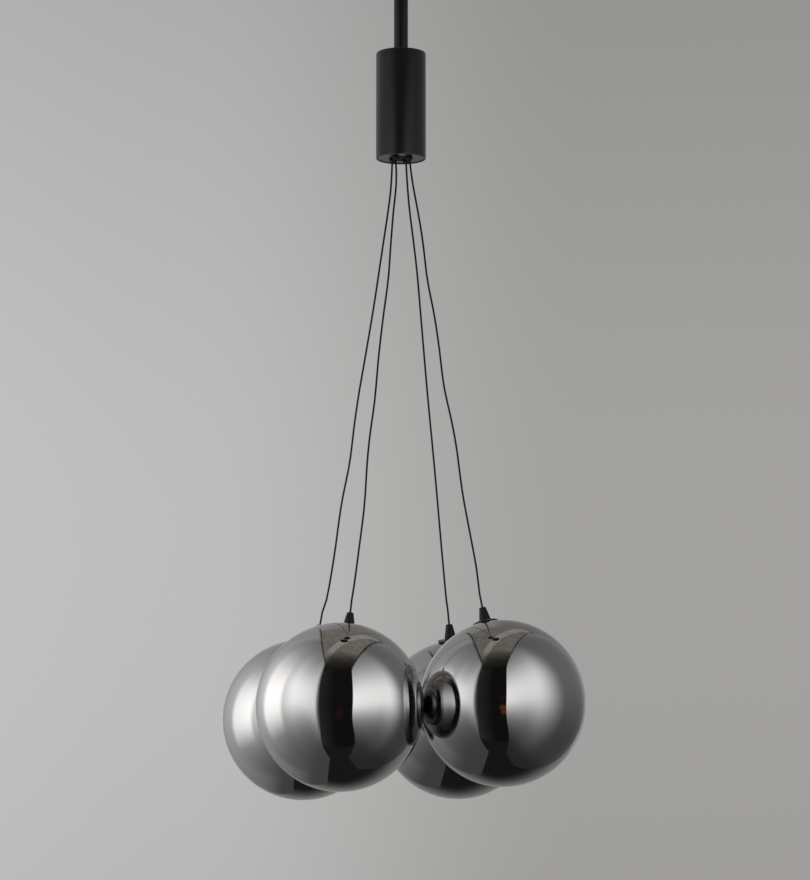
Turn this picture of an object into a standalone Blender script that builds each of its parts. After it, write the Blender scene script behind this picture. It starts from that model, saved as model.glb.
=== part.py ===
"""Pendant light: four smoked mirror-glass globes on thin cables, under a canister and a stem.

Units are metres and Z points up. The ceiling is the plane z = 0. The fixture hangs below it on
the Z axis, and its front faces -Y.
"""

import math

import bmesh
import bpy
from mathutils import Matrix, Vector

# Clearances: between touching pieces, in running fits and screwed fits, and a cutter's overrun
TOUCH_GAP = 0.0003
RUNNING_GAP = 0.0005
CUT_OVERRUN = 0.002
JOIN_DEPTH = 0.001

# Distances under which two points of one mesh are one point
MERGE_DISTANCE = 0.00001
WELD_DISTANCE = 0.000001

# Ceiling bracket: a flat bar with slotted holes and folded ears
BRACKET_WIDTH = 0.024
BRACKET_THICKNESS = 0.0025
BRACKET_EAR_DROP = 0.016
BRACKET_EAR_CLEARANCE = 0.0006
SLOT_SPACING = 0.070
SLOT_LENGTH = 0.012
SLOT_WIDTH = 0.0050

# Canopy cover
CANOPY_DIAMETER = 0.110
CANOPY_DEPTH = 0.025
CANOPY_WALL = 0.0012
CANOPY_BEND_RADIUS = 0.0018
CANOPY_SCREW_DROP = 0.0105
CANOPY_SCREW_DIAMETER = 0.0038
CANOPY_SCREW_HEAD_DIAMETER = 0.0070
CANOPY_SCREW_HEAD_HEIGHT = 0.0022
CANOPY_SCREW_BITE = 0.002

# Hub under the bracket, in which the swivel fork turns
HUB_WALL = 0.0028
HUB_FLANGE_LIP = 0.0008
HUB_FLANGE_HEIGHT = 0.002
HUB_NUT_CLEARANCE = 0.0004
HUB_FLOOR = 0.0085
HUB_STAND = 0.001
HUB_PORT_DIAMETER = 0.0062

# Supply lead and the terminal block under the bracket
LEAD_DIAMETER = 0.0042
LEAD_BEND_RADIUS = 0.0040
LEAD_CORE_GAP = 0.0006
LEAD_PORT_RISE = 0.0008
TERMINAL_LENGTH = 0.012
TERMINAL_WIDTH = 0.018
TERMINAL_HEIGHT = 0.010
TERMINAL_STAND_OFF = 0.0055
TERMINAL_EDGE = 0.0008

# Swivel fork, its nut and its two pivot screws
FORK_SHANK_DIAMETER = 0.0095
FORK_SHANK_ABOVE_NUT = 0.0008
FORK_BASE_LIP = 0.0003
FORK_BASE_THICKNESS = 0.0045
FORK_BASE_EDGE = 0.0006
FORK_CHEEK_THICKNESS = 0.0030
FORK_CHEEK_WIDTH = 0.0100
FORK_NUT_WALL = 0.0020
FORK_NUT_HEIGHT = 0.0035
PIVOT_CLEARANCE = 0.0018
PIVOT_SCREW_DIAMETER = 0.0036
PIVOT_SCREW_BITE = 0.0022
PIVOT_SCREW_HEAD_DIAMETER = 0.0064
PIVOT_SCREW_HEAD_HEIGHT = 0.0016

# Stem head, stem, and the nipple and nut that carry the canister
HEAD_SHOULDER_RISE = 0.0045
HEAD_LENGTH = 0.0150
HEAD_SPIGOT_LENGTH = 0.0100
STEM_DIAMETER = 0.0133
STEM_WALL = 0.0014
STEM_LENGTH = 0.2690
NIPPLE_WALL = 0.0018
NIPPLE_IN_STEM = 0.0140
NIPPLE_IN_CAN = 0.0070
CAN_NUT_WALL = 0.0032
CAN_NUT_HEIGHT = 0.0040

# Canister
CAN_DIAMETER = 0.0470
CAN_LENGTH = 0.1020
CAN_WALL = 0.0016
CAN_TOP_THICKNESS = 0.0025
CAN_EDGE_RADIUS = 0.0008
PLATE_THICKNESS = 0.0050
PLATE_RECESS = 0.0006
PLATE_POST_CLEARANCE = 0.0019
PLATE_POST_HEIGHT = 0.0120
SET_SCREW_DIAMETER = 0.0026
SET_SCREW_BITE = 0.0030
DRIVER_WIDTH = 0.0260
DRIVER_DEPTH = 0.0200
DRIVER_HEIGHT = 0.0640
DRIVER_EDGE = 0.0010

# Cable glands, on a circle in the gland plate
GLAND_CIRCLE_DIAMETER = 0.0180
GLAND_NOSE_RADIUS = 0.0032
GLAND_NOSE_DROP = 0.0008
GLAND_NECK_DIAMETER = 0.0042
GLAND_FLANGE_DIAMETER = 0.0062
GLAND_FLANGE_HEIGHT = 0.0012

# Ring of globes: its turn about Z, its depth under the canister and each globe's own trim in height
GLOBE_DIAMETER = 0.1500
GLOBE_WALL = 0.0020
GLOBE_HOLE_DIAMETER = 0.0190
GLOBE_GAP = 0.0004
RING_TURN_DEG = 14.5
DROP_HEIGHT = 0.5193
HEIGHT_TRIM = {
    "front_left": 0.0010,
    "front_right": 0.0061,
    "back_right": -0.0027,
    "back_left": -0.0043,
}
RING_CORNERS_DEG = {
    "front_left": 225.0,
    "front_right": 315.0,
    "back_right": 45.0,
    "back_left": 135.0,
}

# Where each globe's mouth points: its lean from upright, and the azimuth that it leans towards
MOUTH_LEAN_DEG = {
    "front_left": (19.3, 73.7),
    "front_right": (15.5, 135.7),
    "back_right": (10.4, 239.2),
    "back_left": (11.3, 31.0),
}

# Cables: the share of the way down from gland to grip, and the bend to the right there in metres.
# The last stretch, straight into the grip, follows these points
CABLE_DIAMETER = 0.0018
CABLE_STRAIGHT_END = 0.0125
CABLE_POINTS = 36
CABLE_ROUTES = {
    "front_left": [
        (0.00, 0.0), (0.05, 0.0026), (0.12, 0.0026), (0.19, 0.0032), (0.27, 0.0041), (0.35, 0.0030),
        (0.44, 0.0024), (0.54, 0.0028), (0.62, 0.0016), (0.68, 0.0017), (0.77, 0.0030), (0.86, 0.0021),
        (0.94, 0.0010),
    ],
    "front_right": [
        (0.00, 0.0), (0.05, -0.0006), (0.13, 0.0001), (0.19, -0.0001), (0.27, -0.0015), (0.35, -0.0005),
        (0.42, -0.0008), (0.51, -0.0022), (0.59, -0.0004), (0.65, 0.0001), (0.75, -0.0011), (0.84, -0.0003),
        (0.91, 0.0004),
    ],
    "back_right": [
        (0.00, 0.0), (0.05, -0.0007), (0.10, -0.0008), (0.17, 0.0002), (0.24, 0.0008),
        (0.35, 0.0004), (0.50, -0.0001), (0.66, 0.0), (0.82, -0.0004), (0.94, -0.0005),
    ],
    "back_left": [
        (0.00, 0.0), (0.05, 0.0023), (0.10, 0.0031), (0.20, 0.0034), (0.31, 0.0037), (0.42, 0.0031),
        (0.50, 0.0025), (0.57, 0.0029), (0.65, 0.0040), (0.74, 0.0024), (0.85, 0.0032), (0.94, 0.0026),
    ],
}

# Cord grip, the tapered cone on each cap
GRIP_HEIGHT = 0.0132
GRIP_TOP_DIAMETER = 0.0060
GRIP_BASE_DIAMETER = 0.0108
GRIP_FOOT_HEIGHT = 0.0012
GRIP_EDGE = 0.0005

# Cap, gasket and collar at each globe's mouth
CAP_DIAMETER = 0.0242
CAP_THICKNESS = 0.0011
CAP_SEAT_DIAMETER = 0.0118
CAP_BOSS_LENGTH = 0.0100
GASKET_DIAMETER = 0.0232
GASKET_THICKNESS = 0.0006
COLLAR_WALL = 0.0014
COLLAR_LENGTH = 0.0090

# Support tube, lamp holder and lamp, on each globe's axis
TUBE_DIAMETER = 0.0080
TUBE_WALL = 0.0014
TUBE_IN_HOLDER = 0.0060
HOLDER_DIAMETER = 0.0140
HOLDER_LENGTH = 0.0220
HOLDER_EDGE = 0.0007
PIN_SPACING = 0.0040
PIN_DIAMETER = 0.0009
PIN_LENGTH = 0.0065
LAMP_BASE_DIAMETER = 0.0105
LAMP_BASE_LENGTH = 0.0090
LAMP_CAPSULE_DIAMETER = 0.0120
LAMP_CAPSULE_LENGTH = 0.0280
LAMP_TIP_BELOW_CENTRE = 0.0200

# Facets around each kind of turned piece
SMALL_SIDES = 12
FITTING_SIDES = 16
CAP_SIDES = 20
GLOBE_SIDES = 26
CAN_SIDES = 36

# Radii that several pieces share
LEAD_BORE_RADIUS = LEAD_DIAMETER / 2 + LEAD_CORE_GAP
FORK_NUT_WIDTH = FORK_SHANK_DIAMETER + 2 * FORK_NUT_WALL
HUB_CHAMBER_RADIUS = FORK_NUT_WIDTH / math.sqrt(3) + HUB_NUT_CLEARANCE
HUB_RADIUS = HUB_CHAMBER_RADIUS + HUB_WALL
STEM_RADIUS = STEM_DIAMETER / 2
STEM_BORE_RADIUS = STEM_RADIUS - STEM_WALL
HEAD_DOME_RADIUS = math.hypot(STEM_RADIUS, HEAD_SHOULDER_RISE)
CHEEK_X = STEM_RADIUS + RUNNING_GAP + FORK_CHEEK_THICKNESS / 2
CHEEK_OUTER_X = CHEEK_X + FORK_CHEEK_THICKNESS / 2
FORK_BASE_RADIUS = math.hypot(CHEEK_OUTER_X, FORK_CHEEK_WIDTH / 2) + FORK_BASE_LIP
NIPPLE_RADIUS = STEM_BORE_RADIUS - TOUCH_GAP
CAN_HOLE_RADIUS = NIPPLE_RADIUS + TOUCH_GAP
CAN_INNER_RADIUS = CAN_DIAMETER / 2 - CAN_WALL
PLATE_RADIUS = CAN_INNER_RADIUS - TOUCH_GAP
PLATE_POST_RADIUS = (GLAND_CIRCLE_DIAMETER - GLAND_FLANGE_DIAMETER) / 2 - PLATE_POST_CLEARANCE
GLOBE_RADIUS = GLOBE_DIAMETER / 2
GLOBE_HOLE_RADIUS = GLOBE_HOLE_DIAMETER / 2
RING_RADIUS = (GLOBE_DIAMETER + GLOBE_GAP) / math.sqrt(2)
COLLAR_RADIUS = GLOBE_HOLE_RADIUS - TOUCH_GAP
COLLAR_BORE_RADIUS = COLLAR_RADIUS - COLLAR_WALL
CAP_BOSS_RADIUS = COLLAR_BORE_RADIUS - TOUCH_GAP

# Heights, worked out from the ceiling down
CANOPY_BOTTOM_Z = -CANOPY_DEPTH
HUB_TOP_Z = -BRACKET_THICKNESS - TOUCH_GAP
HUB_BOTTOM_Z = CANOPY_BOTTOM_Z - HUB_STAND
HUB_FLOOR_Z = HUB_BOTTOM_Z + HUB_FLOOR
FORK_TOP_Z = HUB_FLOOR_Z + TOUCH_GAP + FORK_NUT_HEIGHT + FORK_SHANK_ABOVE_NUT
LEAD_PORT_Z = FORK_TOP_Z + LEAD_PORT_RISE + LEAD_DIAMETER / 2
FORK_BASE_TOP_Z = HUB_BOTTOM_Z - TOUCH_GAP
FORK_BASE_BOTTOM_Z = FORK_BASE_TOP_Z - FORK_BASE_THICKNESS
PIVOT_Z = FORK_BASE_BOTTOM_Z - HEAD_DOME_RADIUS - PIVOT_CLEARANCE
HEAD_BOTTOM_Z = PIVOT_Z - HEAD_LENGTH
STEM_TOP_Z = HEAD_BOTTOM_Z - TOUCH_GAP
STEM_BOTTOM_Z = STEM_TOP_Z - STEM_LENGTH
CAN_TOP_Z = STEM_BOTTOM_Z - TOUCH_GAP
CAN_BOTTOM_Z = CAN_TOP_Z - CAN_LENGTH
PLATE_BOTTOM_Z = CAN_BOTTOM_Z + PLATE_RECESS
PLATE_TOP_Z = PLATE_BOTTOM_Z + PLATE_THICKNESS
DRIVER_BOTTOM_Z = PLATE_TOP_Z + PLATE_POST_HEIGHT + TOUCH_GAP
DRIVER_TOP_Z = DRIVER_BOTTOM_Z + DRIVER_HEIGHT
GLAND_CENTRE_Z = PLATE_BOTTOM_Z - GLAND_NOSE_DROP

# Heights above a globe's centre, along its mouth's axis
GASKET_BOTTOM_RADIUS = GLOBE_RADIUS + TOUCH_GAP
GASKET_TOP_RADIUS = GASKET_BOTTOM_RADIUS + GASKET_THICKNESS
CAP_BOTTOM_RADIUS = GASKET_TOP_RADIUS + TOUCH_GAP
CAP_TOP_RADIUS = CAP_BOTTOM_RADIUS + CAP_THICKNESS
CAP_TOP_H = CAP_TOP_RADIUS
GLASS_MOUTH_H = math.sqrt(GLOBE_RADIUS ** 2 - GLOBE_HOLE_RADIUS ** 2)
GRIP_BASE_H = CAP_TOP_H + TOUCH_GAP
GRIP_TOP_H = GRIP_BASE_H + GRIP_HEIGHT
LAMP_BASE_TOP_H = LAMP_CAPSULE_LENGTH + LAMP_BASE_LENGTH - LAMP_TIP_BELOW_CENTRE
HOLDER_BOTTOM_H = LAMP_BASE_TOP_H + TOUCH_GAP
HOLDER_TOP_H = HOLDER_BOTTOM_H + HOLDER_LENGTH
TUBE_BOTTOM_H = HOLDER_TOP_H - TUBE_IN_HOLDER


def clear_scene():
    """Remove what the start-up file holds."""
    for thing in list(bpy.data.objects):
        bpy.data.objects.remove(thing, do_unlink=True)


def new_collection(name):
    collection = bpy.data.collections.new(name)
    bpy.context.scene.collection.children.link(collection)
    return collection


def new_material(name, colour, roughness, metallic=0.0):
    """A Principled material with one colour, roughness and metallic value."""
    material = bpy.data.materials.new(name)
    material.use_nodes = True
    shader = material.node_tree.nodes["Principled BSDF"]
    shader.inputs["Base Color"].default_value = (*colour, 1.0)
    shader.inputs["Roughness"].default_value = roughness
    shader.inputs["Metallic"].default_value = metallic
    return material


class Kit:
    """The collections and materials that every piece is put in."""

    def __init__(self):
        self.parts = new_collection("pendant_light")
        self.cutters = new_collection("pendant_light_cutters")
        self.black_metal = new_material("satin_black_metal", (0.018, 0.018, 0.018), 0.42)
        self.black_plastic = new_material("black_plastic", (0.012, 0.012, 0.012), 0.50)
        self.cable_jacket = new_material("cable_jacket", (0.010, 0.010, 0.010), 0.55)
        self.zinc = new_material("zinc_steel", (0.55, 0.56, 0.57), 0.35, 1.0)
        self.rubber = new_material("gasket_rubber", (0.02, 0.02, 0.02), 0.80)
        self.ceramic = new_material("lamp_holder_ceramic", (0.75, 0.73, 0.68), 0.55)
        self.lamp = new_material("lamp_phosphor", (0.85, 0.33, 0.05), 0.30)
        self.driver = new_material("driver_case", (0.80, 0.80, 0.78), 0.50)
        self.glass = new_material("smoked_mirror_glass", (0.42, 0.41, 0.41), 0.04, 0.95)


def add_object(name, mesh, collection, material=None, parent=None, matrix=None):
    """Link a mesh as an object, at matrix in its parent's frame."""
    thing = bpy.data.objects.new(name, mesh)
    collection.objects.link(thing)
    if material is not None:
        mesh.materials.append(material)
    thing.parent = parent
    if matrix is not None:
        thing.matrix_basis = matrix
    return thing


def hide_as_cutter(thing):
    thing.display_type = "WIRE"
    thing.hide_render = True
    return thing


def turned(kit, name, profile, sides, material, parent=None, matrix=None, closed=False, cutter=False):
    """A turned piece: a profile of (radius, height) points, swept once around Z by a Screw modifier.

    The profile runs down its outer side. A closed one makes a ring with a bore.
    """
    mesh = bpy.data.meshes.new(name)
    points = [(radius, 0.0, height) for radius, height in profile]
    edges = [(i, i + 1) for i in range(len(points) - 1)]
    if closed:
        edges.append((len(points) - 1, 0))
    mesh.from_pydata(points, edges, [])
    collection = kit.cutters if cutter else kit.parts
    thing = add_object(name, mesh, collection, material, parent, matrix)
    screw = thing.modifiers.new("turn", "SCREW")
    screw.axis = "Z"
    screw.angle = math.tau
    screw.steps = sides
    screw.render_steps = sides
    screw.use_merge_vertices = True
    screw.merge_threshold = MERGE_DISTANCE
    screw.use_smooth_shade = True
    return hide_as_cutter(thing) if cutter else thing


def cylinder_cutter(kit, name, diameter, length, matrix, parent=None, sides=SMALL_SIDES):
    """A cylinder that cuts, its middle at matrix and its axis along that frame's Z."""
    mesh = bpy.data.meshes.new(name)
    shape = bmesh.new()
    bmesh.ops.create_cone(
        shape, cap_ends=True, segments=sides, radius1=diameter / 2, radius2=diameter / 2, depth=length
    )
    shape.to_mesh(mesh)
    shape.free()
    return hide_as_cutter(add_object(name, mesh, kit.cutters, None, parent, matrix))


def combine(thing, tool, operation):
    """Join a tool to a piece or cut it away, by an exact Boolean modifier."""
    boolean = thing.modifiers.new(operation.lower(), "BOOLEAN")
    boolean.operation = operation
    boolean.solver = "EXACT"
    boolean.object = tool


def block(kit, name, size, matrix, material, edge=0.0, cutter=False):
    """A box of the given size, its middle at matrix, with rounded edges where edge is given."""
    mesh = bpy.data.meshes.new(name)
    shape = bmesh.new()
    bmesh.ops.create_cube(shape, size=1.0)
    bmesh.ops.scale(shape, vec=size, verts=shape.verts)
    shape.to_mesh(mesh)
    shape.free()
    collection = kit.cutters if cutter else kit.parts
    thing = add_object(name, mesh, collection, material, None, matrix)
    if edge:
        bevel = thing.modifiers.new("edge", "BEVEL")
        bevel.width = edge
        bevel.segments = 2
    return hide_as_cutter(thing) if cutter else thing


def mesh_of_curve(curve_object, name):
    """The mesh that a curve object makes, with its caps welded, and the curve removed."""
    bpy.context.view_layer.update()
    graph = bpy.context.evaluated_depsgraph_get()
    mesh = bpy.data.meshes.new_from_object(curve_object.evaluated_get(graph))
    mesh.name = name
    shape = bmesh.new()
    shape.from_mesh(mesh)
    bmesh.ops.remove_doubles(shape, verts=shape.verts, dist=WELD_DISTANCE)
    bmesh.ops.recalc_face_normals(shape, faces=shape.faces)
    shape.to_mesh(mesh)
    shape.free()
    curve = curve_object.data
    bpy.data.objects.remove(curve_object, do_unlink=True)
    bpy.data.curves.remove(curve)
    return mesh


def flat_outline(kit, name, points, thickness, matrix, material=None, cutter=False):
    """A plate from a closed outline in its own XY plane, half its thickness to each side."""
    curve = bpy.data.curves.new(name, "CURVE")
    curve.dimensions = "2D"
    curve.fill_mode = "BOTH"
    curve.extrude = thickness / 2
    spline = curve.splines.new("POLY")
    spline.points.add(len(points) - 1)
    for point, (x, y) in zip(spline.points, points):
        point.co = (x, y, 0.0, 1.0)
    spline.use_cyclic_u = True
    outline = bpy.data.objects.new(name + "_outline", curve)
    kit.cutters.objects.link(outline)
    mesh = mesh_of_curve(outline, name)
    thing = add_object(name, mesh, kit.cutters if cutter else kit.parts, material, None, matrix)
    return hide_as_cutter(thing) if cutter else thing


def tube_along(kit, name, points, diameter, material, parent=None):
    """A round tube with closed ends along a line of points in its parent's frame."""
    curve = bpy.data.curves.new(name, "CURVE")
    curve.dimensions = "3D"
    curve.bevel_depth = diameter / 2
    curve.bevel_resolution = 2
    curve.use_fill_caps = True
    spline = curve.splines.new("POLY")
    spline.points.add(len(points) - 1)
    for point, place in zip(spline.points, points):
        point.co = (*place, 1.0)
    curve.materials.append(material)
    thing = bpy.data.objects.new(name, curve)
    kit.parts.objects.link(thing)
    thing.parent = parent
    return thing


def arc(centre_r, centre_h, radius, start_deg, end_deg, steps):
    """Points of an arc in a profile's plane. 0 degrees points out from the axis, 90 points up."""
    points = []
    for step in range(steps + 1):
        angle = math.radians(start_deg + (end_deg - start_deg) * step / steps)
        points.append((centre_r + radius * math.cos(angle), centre_h + radius * math.sin(angle)))
    return points


def dome(radius, from_r, to_r, steps):
    """Points of a sphere's upper profile about the axis, from one radius out to another."""
    rows = [from_r + (to_r - from_r) * step / steps for step in range(steps + 1)]
    return [(r, math.sqrt(radius ** 2 - r ** 2)) for r in rows]


def along_x(place, sign=1.0):
    """A frame at place whose Z points along +X, or along -X."""
    return Matrix.Translation(place) @ Matrix.Rotation(sign * math.pi / 2, 4, "Y")


def hex_nut(kit, name, width, height, bore, middle_z, material):
    """A hexagon nut on the Z axis, with a plain bore for its thread."""
    mesh = bpy.data.meshes.new(name)
    shape = bmesh.new()
    corner = width / math.sqrt(3)
    bmesh.ops.create_cone(shape, cap_ends=True, segments=6, radius1=corner, radius2=corner, depth=height)
    shape.to_mesh(mesh)
    shape.free()
    middle = Matrix.Translation((0.0, 0.0, middle_z))
    nut = add_object(name, mesh, kit.parts, material, None, middle)
    hole = cylinder_cutter(kit, name + "_bore", bore, height + CUT_OVERRUN, middle, sides=FITTING_SIDES)
    combine(nut, hole, "DIFFERENCE")
    return nut


def screw_profile(head_diameter, head_height, shank_diameter, shank_length):
    """A pan-head screw's profile, its head's underside at height zero."""
    crown = head_height / 3
    return [
        (0.0, head_height),
        (head_diameter / 2 - crown, head_height),
        (head_diameter / 2, head_height - crown),
        (head_diameter / 2, 0.0),
        (shank_diameter / 2, 0.0),
        (shank_diameter / 2, -shank_length),
        (0.0, -shank_length),
    ]


def build_bracket(kit):
    """The ceiling bar: a flat bar with both ends folded down, two slots and two screw holes."""
    wall_x = math.sqrt((CANOPY_DIAMETER / 2 - CANOPY_WALL) ** 2 - (BRACKET_WIDTH / 2) ** 2)
    end_x = wall_x - BRACKET_EAR_CLEARANCE
    inner_x = end_x - BRACKET_THICKNESS
    outline = [
        (-end_x, 0.0),
        (-end_x, -BRACKET_EAR_DROP),
        (-inner_x, -BRACKET_EAR_DROP),
        (-inner_x, -BRACKET_THICKNESS),
        (inner_x, -BRACKET_THICKNESS),
        (inner_x, -BRACKET_EAR_DROP),
        (end_x, -BRACKET_EAR_DROP),
        (end_x, 0.0),
    ]
    upright = Matrix.Rotation(math.pi / 2, 4, "X")
    bracket = flat_outline(kit, "ceiling_bracket", outline, BRACKET_WIDTH, upright, kit.zinc)
    for side, x in (("left", -SLOT_SPACING / 2), ("right", SLOT_SPACING / 2)):
        half = (SLOT_LENGTH - SLOT_WIDTH) / 2
        round_end = arc(half, 0.0, SLOT_WIDTH / 2, -90, 90, 4)
        slot = round_end + [(-r, -h) for r, h in round_end]
        place = Matrix.Translation((x, 0.0, -BRACKET_THICKNESS / 2))
        cutter = flat_outline(
            kit, "bracket_slot_" + side, slot, BRACKET_THICKNESS + CUT_OVERRUN, place, cutter=True
        )
        combine(bracket, cutter, "DIFFERENCE")
    hole = cylinder_cutter(
        kit,
        "bracket_screw_holes",
        CANOPY_SCREW_DIAMETER + 2 * TOUCH_GAP,
        2 * end_x + CUT_OVERRUN,
        along_x((0.0, 0.0, -CANOPY_SCREW_DROP)),
    )
    combine(bracket, hole, "DIFFERENCE")
    return inner_x


def build_canopy(kit, ear_inner_x):
    """The canopy cover, an upturned cup, and the two screws that fix it to the bracket's ears."""
    outer = CANOPY_DIAMETER / 2
    inner = outer - CANOPY_WALL
    hole = HUB_RADIUS + TOUCH_GAP
    inner_edge = CANOPY_BEND_RADIUS
    edge = inner_edge + CANOPY_WALL
    floor_z = CANOPY_BOTTOM_Z + CANOPY_WALL
    outer_bend = arc(outer - edge, CANOPY_BOTTOM_Z + edge, edge, 0, -90, 4)
    inner_bend = arc(outer - edge, CANOPY_BOTTOM_Z + edge, inner_edge, -90, 0, 3)
    profile = [(inner, 0.0), (outer, 0.0)] + outer_bend
    profile += [(hole, CANOPY_BOTTOM_Z), (hole, floor_z)] + inner_bend
    canopy = turned(kit, "canopy_cover", profile, CAN_SIDES, kit.black_metal, closed=True)
    holes = cylinder_cutter(
        kit,
        "canopy_screw_holes",
        CANOPY_SCREW_DIAMETER + 2 * TOUCH_GAP,
        CANOPY_DIAMETER + CUT_OVERRUN,
        along_x((0.0, 0.0, -CANOPY_SCREW_DROP)),
    )
    combine(canopy, holes, "DIFFERENCE")
    seat_x = outer + TOUCH_GAP
    shank = seat_x - ear_inner_x + CANOPY_SCREW_BITE
    profile = screw_profile(
        CANOPY_SCREW_HEAD_DIAMETER, CANOPY_SCREW_HEAD_HEIGHT, CANOPY_SCREW_DIAMETER, shank
    )
    for side, sign in (("left", -1.0), ("right", 1.0)):
        place = along_x((sign * seat_x, 0.0, -CANOPY_SCREW_DROP), sign)
        turned(kit, "canopy_screw_" + side, profile, SMALL_SIDES, kit.black_metal, matrix=place)


def build_hub(kit):
    """The hub: a flanged bush under the bracket, with a chamber for the nut and a side port."""
    bore = FORK_SHANK_DIAMETER / 2 + RUNNING_GAP
    flange = HUB_RADIUS + HUB_FLANGE_LIP
    profile = [
        (HUB_CHAMBER_RADIUS, HUB_TOP_Z),
        (flange, HUB_TOP_Z),
        (flange, HUB_TOP_Z - HUB_FLANGE_HEIGHT),
        (HUB_RADIUS, HUB_TOP_Z - HUB_FLANGE_HEIGHT),
        (HUB_RADIUS, HUB_BOTTOM_Z),
        (bore, HUB_BOTTOM_Z),
        (bore, HUB_FLOOR_Z),
        (HUB_CHAMBER_RADIUS, HUB_FLOOR_Z),
    ]
    hub = turned(kit, "canopy_hub", profile, CAP_SIDES, kit.black_metal, closed=True)
    port_length = HUB_RADIUS + CUT_OVERRUN
    port = cylinder_cutter(
        kit, "hub_port", HUB_PORT_DIAMETER, port_length, along_x((port_length / 2, 0.0, LEAD_PORT_Z))
    )
    combine(hub, port, "DIFFERENCE")


def build_supply(kit):
    """The terminal block under the bracket and the lead that bends from it down into the hub."""
    start_x = HUB_RADIUS + TERMINAL_STAND_OFF
    middle_x = start_x + TERMINAL_LENGTH / 2
    middle_z = HUB_TOP_Z - TERMINAL_HEIGHT / 2
    place = Matrix.Translation((middle_x, 0.0, middle_z))
    size = (TERMINAL_LENGTH, TERMINAL_WIDTH, TERMINAL_HEIGHT)
    block(kit, "supply_terminal", size, place, kit.ceramic, TERMINAL_EDGE)
    bend = arc(LEAD_BEND_RADIUS, LEAD_PORT_Z - LEAD_BEND_RADIUS, LEAD_BEND_RADIUS, 180, 90, 5)
    route = [(0.0, FORK_BASE_BOTTOM_Z)] + bend + [(start_x - TOUCH_GAP, LEAD_PORT_Z)]
    points = [(x, 0.0, z) for x, z in route]
    tube_along(kit, "supply_lead_upper", points, LEAD_DIAMETER, kit.cable_jacket)


def build_swivel(kit):
    """The fork that turns in the hub, its nut, and the pivot screws through its cheeks."""
    shank = FORK_SHANK_DIAMETER / 2
    base = FORK_BASE_RADIUS
    profile = [
        (LEAD_BORE_RADIUS, FORK_TOP_Z),
        (shank, FORK_TOP_Z),
        (shank, FORK_BASE_TOP_Z),
        (base - FORK_BASE_EDGE, FORK_BASE_TOP_Z),
        (base, FORK_BASE_TOP_Z - FORK_BASE_EDGE),
        (base, FORK_BASE_BOTTOM_Z + FORK_BASE_EDGE),
        (base - FORK_BASE_EDGE, FORK_BASE_BOTTOM_Z),
        (LEAD_BORE_RADIUS, FORK_BASE_BOTTOM_Z),
    ]
    fork = turned(kit, "swivel_fork", profile, CAP_SIDES, kit.black_metal, closed=True)
    half = FORK_CHEEK_WIDTH / 2
    top = FORK_BASE_BOTTOM_Z + JOIN_DEPTH
    round_end = arc(0.0, PIVOT_Z, half, 0, -180, 8)
    for side, x in (("left", -CHEEK_X), ("right", CHEEK_X)):
        outline = [(half, top)] + round_end + [(-half, top)]
        place = Matrix.Translation((x, 0.0, 0.0)) @ Matrix.Rotation(math.pi / 2, 4, "Z")
        place = place @ Matrix.Rotation(math.pi / 2, 4, "X")
        cheek = flat_outline(
            kit, "fork_cheek_" + side, outline, FORK_CHEEK_THICKNESS, place, cutter=True
        )
        combine(fork, cheek, "UNION")
    holes = cylinder_cutter(
        kit,
        "fork_pivot_holes",
        PIVOT_SCREW_DIAMETER + 2 * TOUCH_GAP,
        2 * CHEEK_OUTER_X + CUT_OVERRUN,
        along_x((0.0, 0.0, PIVOT_Z)),
    )
    combine(fork, holes, "DIFFERENCE")
    nut_z = HUB_FLOOR_Z + TOUCH_GAP + FORK_NUT_HEIGHT / 2
    nut_bore = FORK_SHANK_DIAMETER + 2 * TOUCH_GAP
    hex_nut(kit, "swivel_nut", FORK_NUT_WIDTH, FORK_NUT_HEIGHT, nut_bore, nut_z, kit.zinc)
    seat_x = CHEEK_OUTER_X + TOUCH_GAP
    length = seat_x - STEM_RADIUS + PIVOT_SCREW_BITE
    profile = screw_profile(
        PIVOT_SCREW_HEAD_DIAMETER, PIVOT_SCREW_HEAD_HEIGHT, PIVOT_SCREW_DIAMETER, length
    )
    for side, sign in (("left", -1.0), ("right", 1.0)):
        place = along_x((sign * seat_x, 0.0, PIVOT_Z), sign)
        turned(kit, "pivot_screw_" + side, profile, SMALL_SIDES, kit.black_metal, matrix=place)


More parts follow.
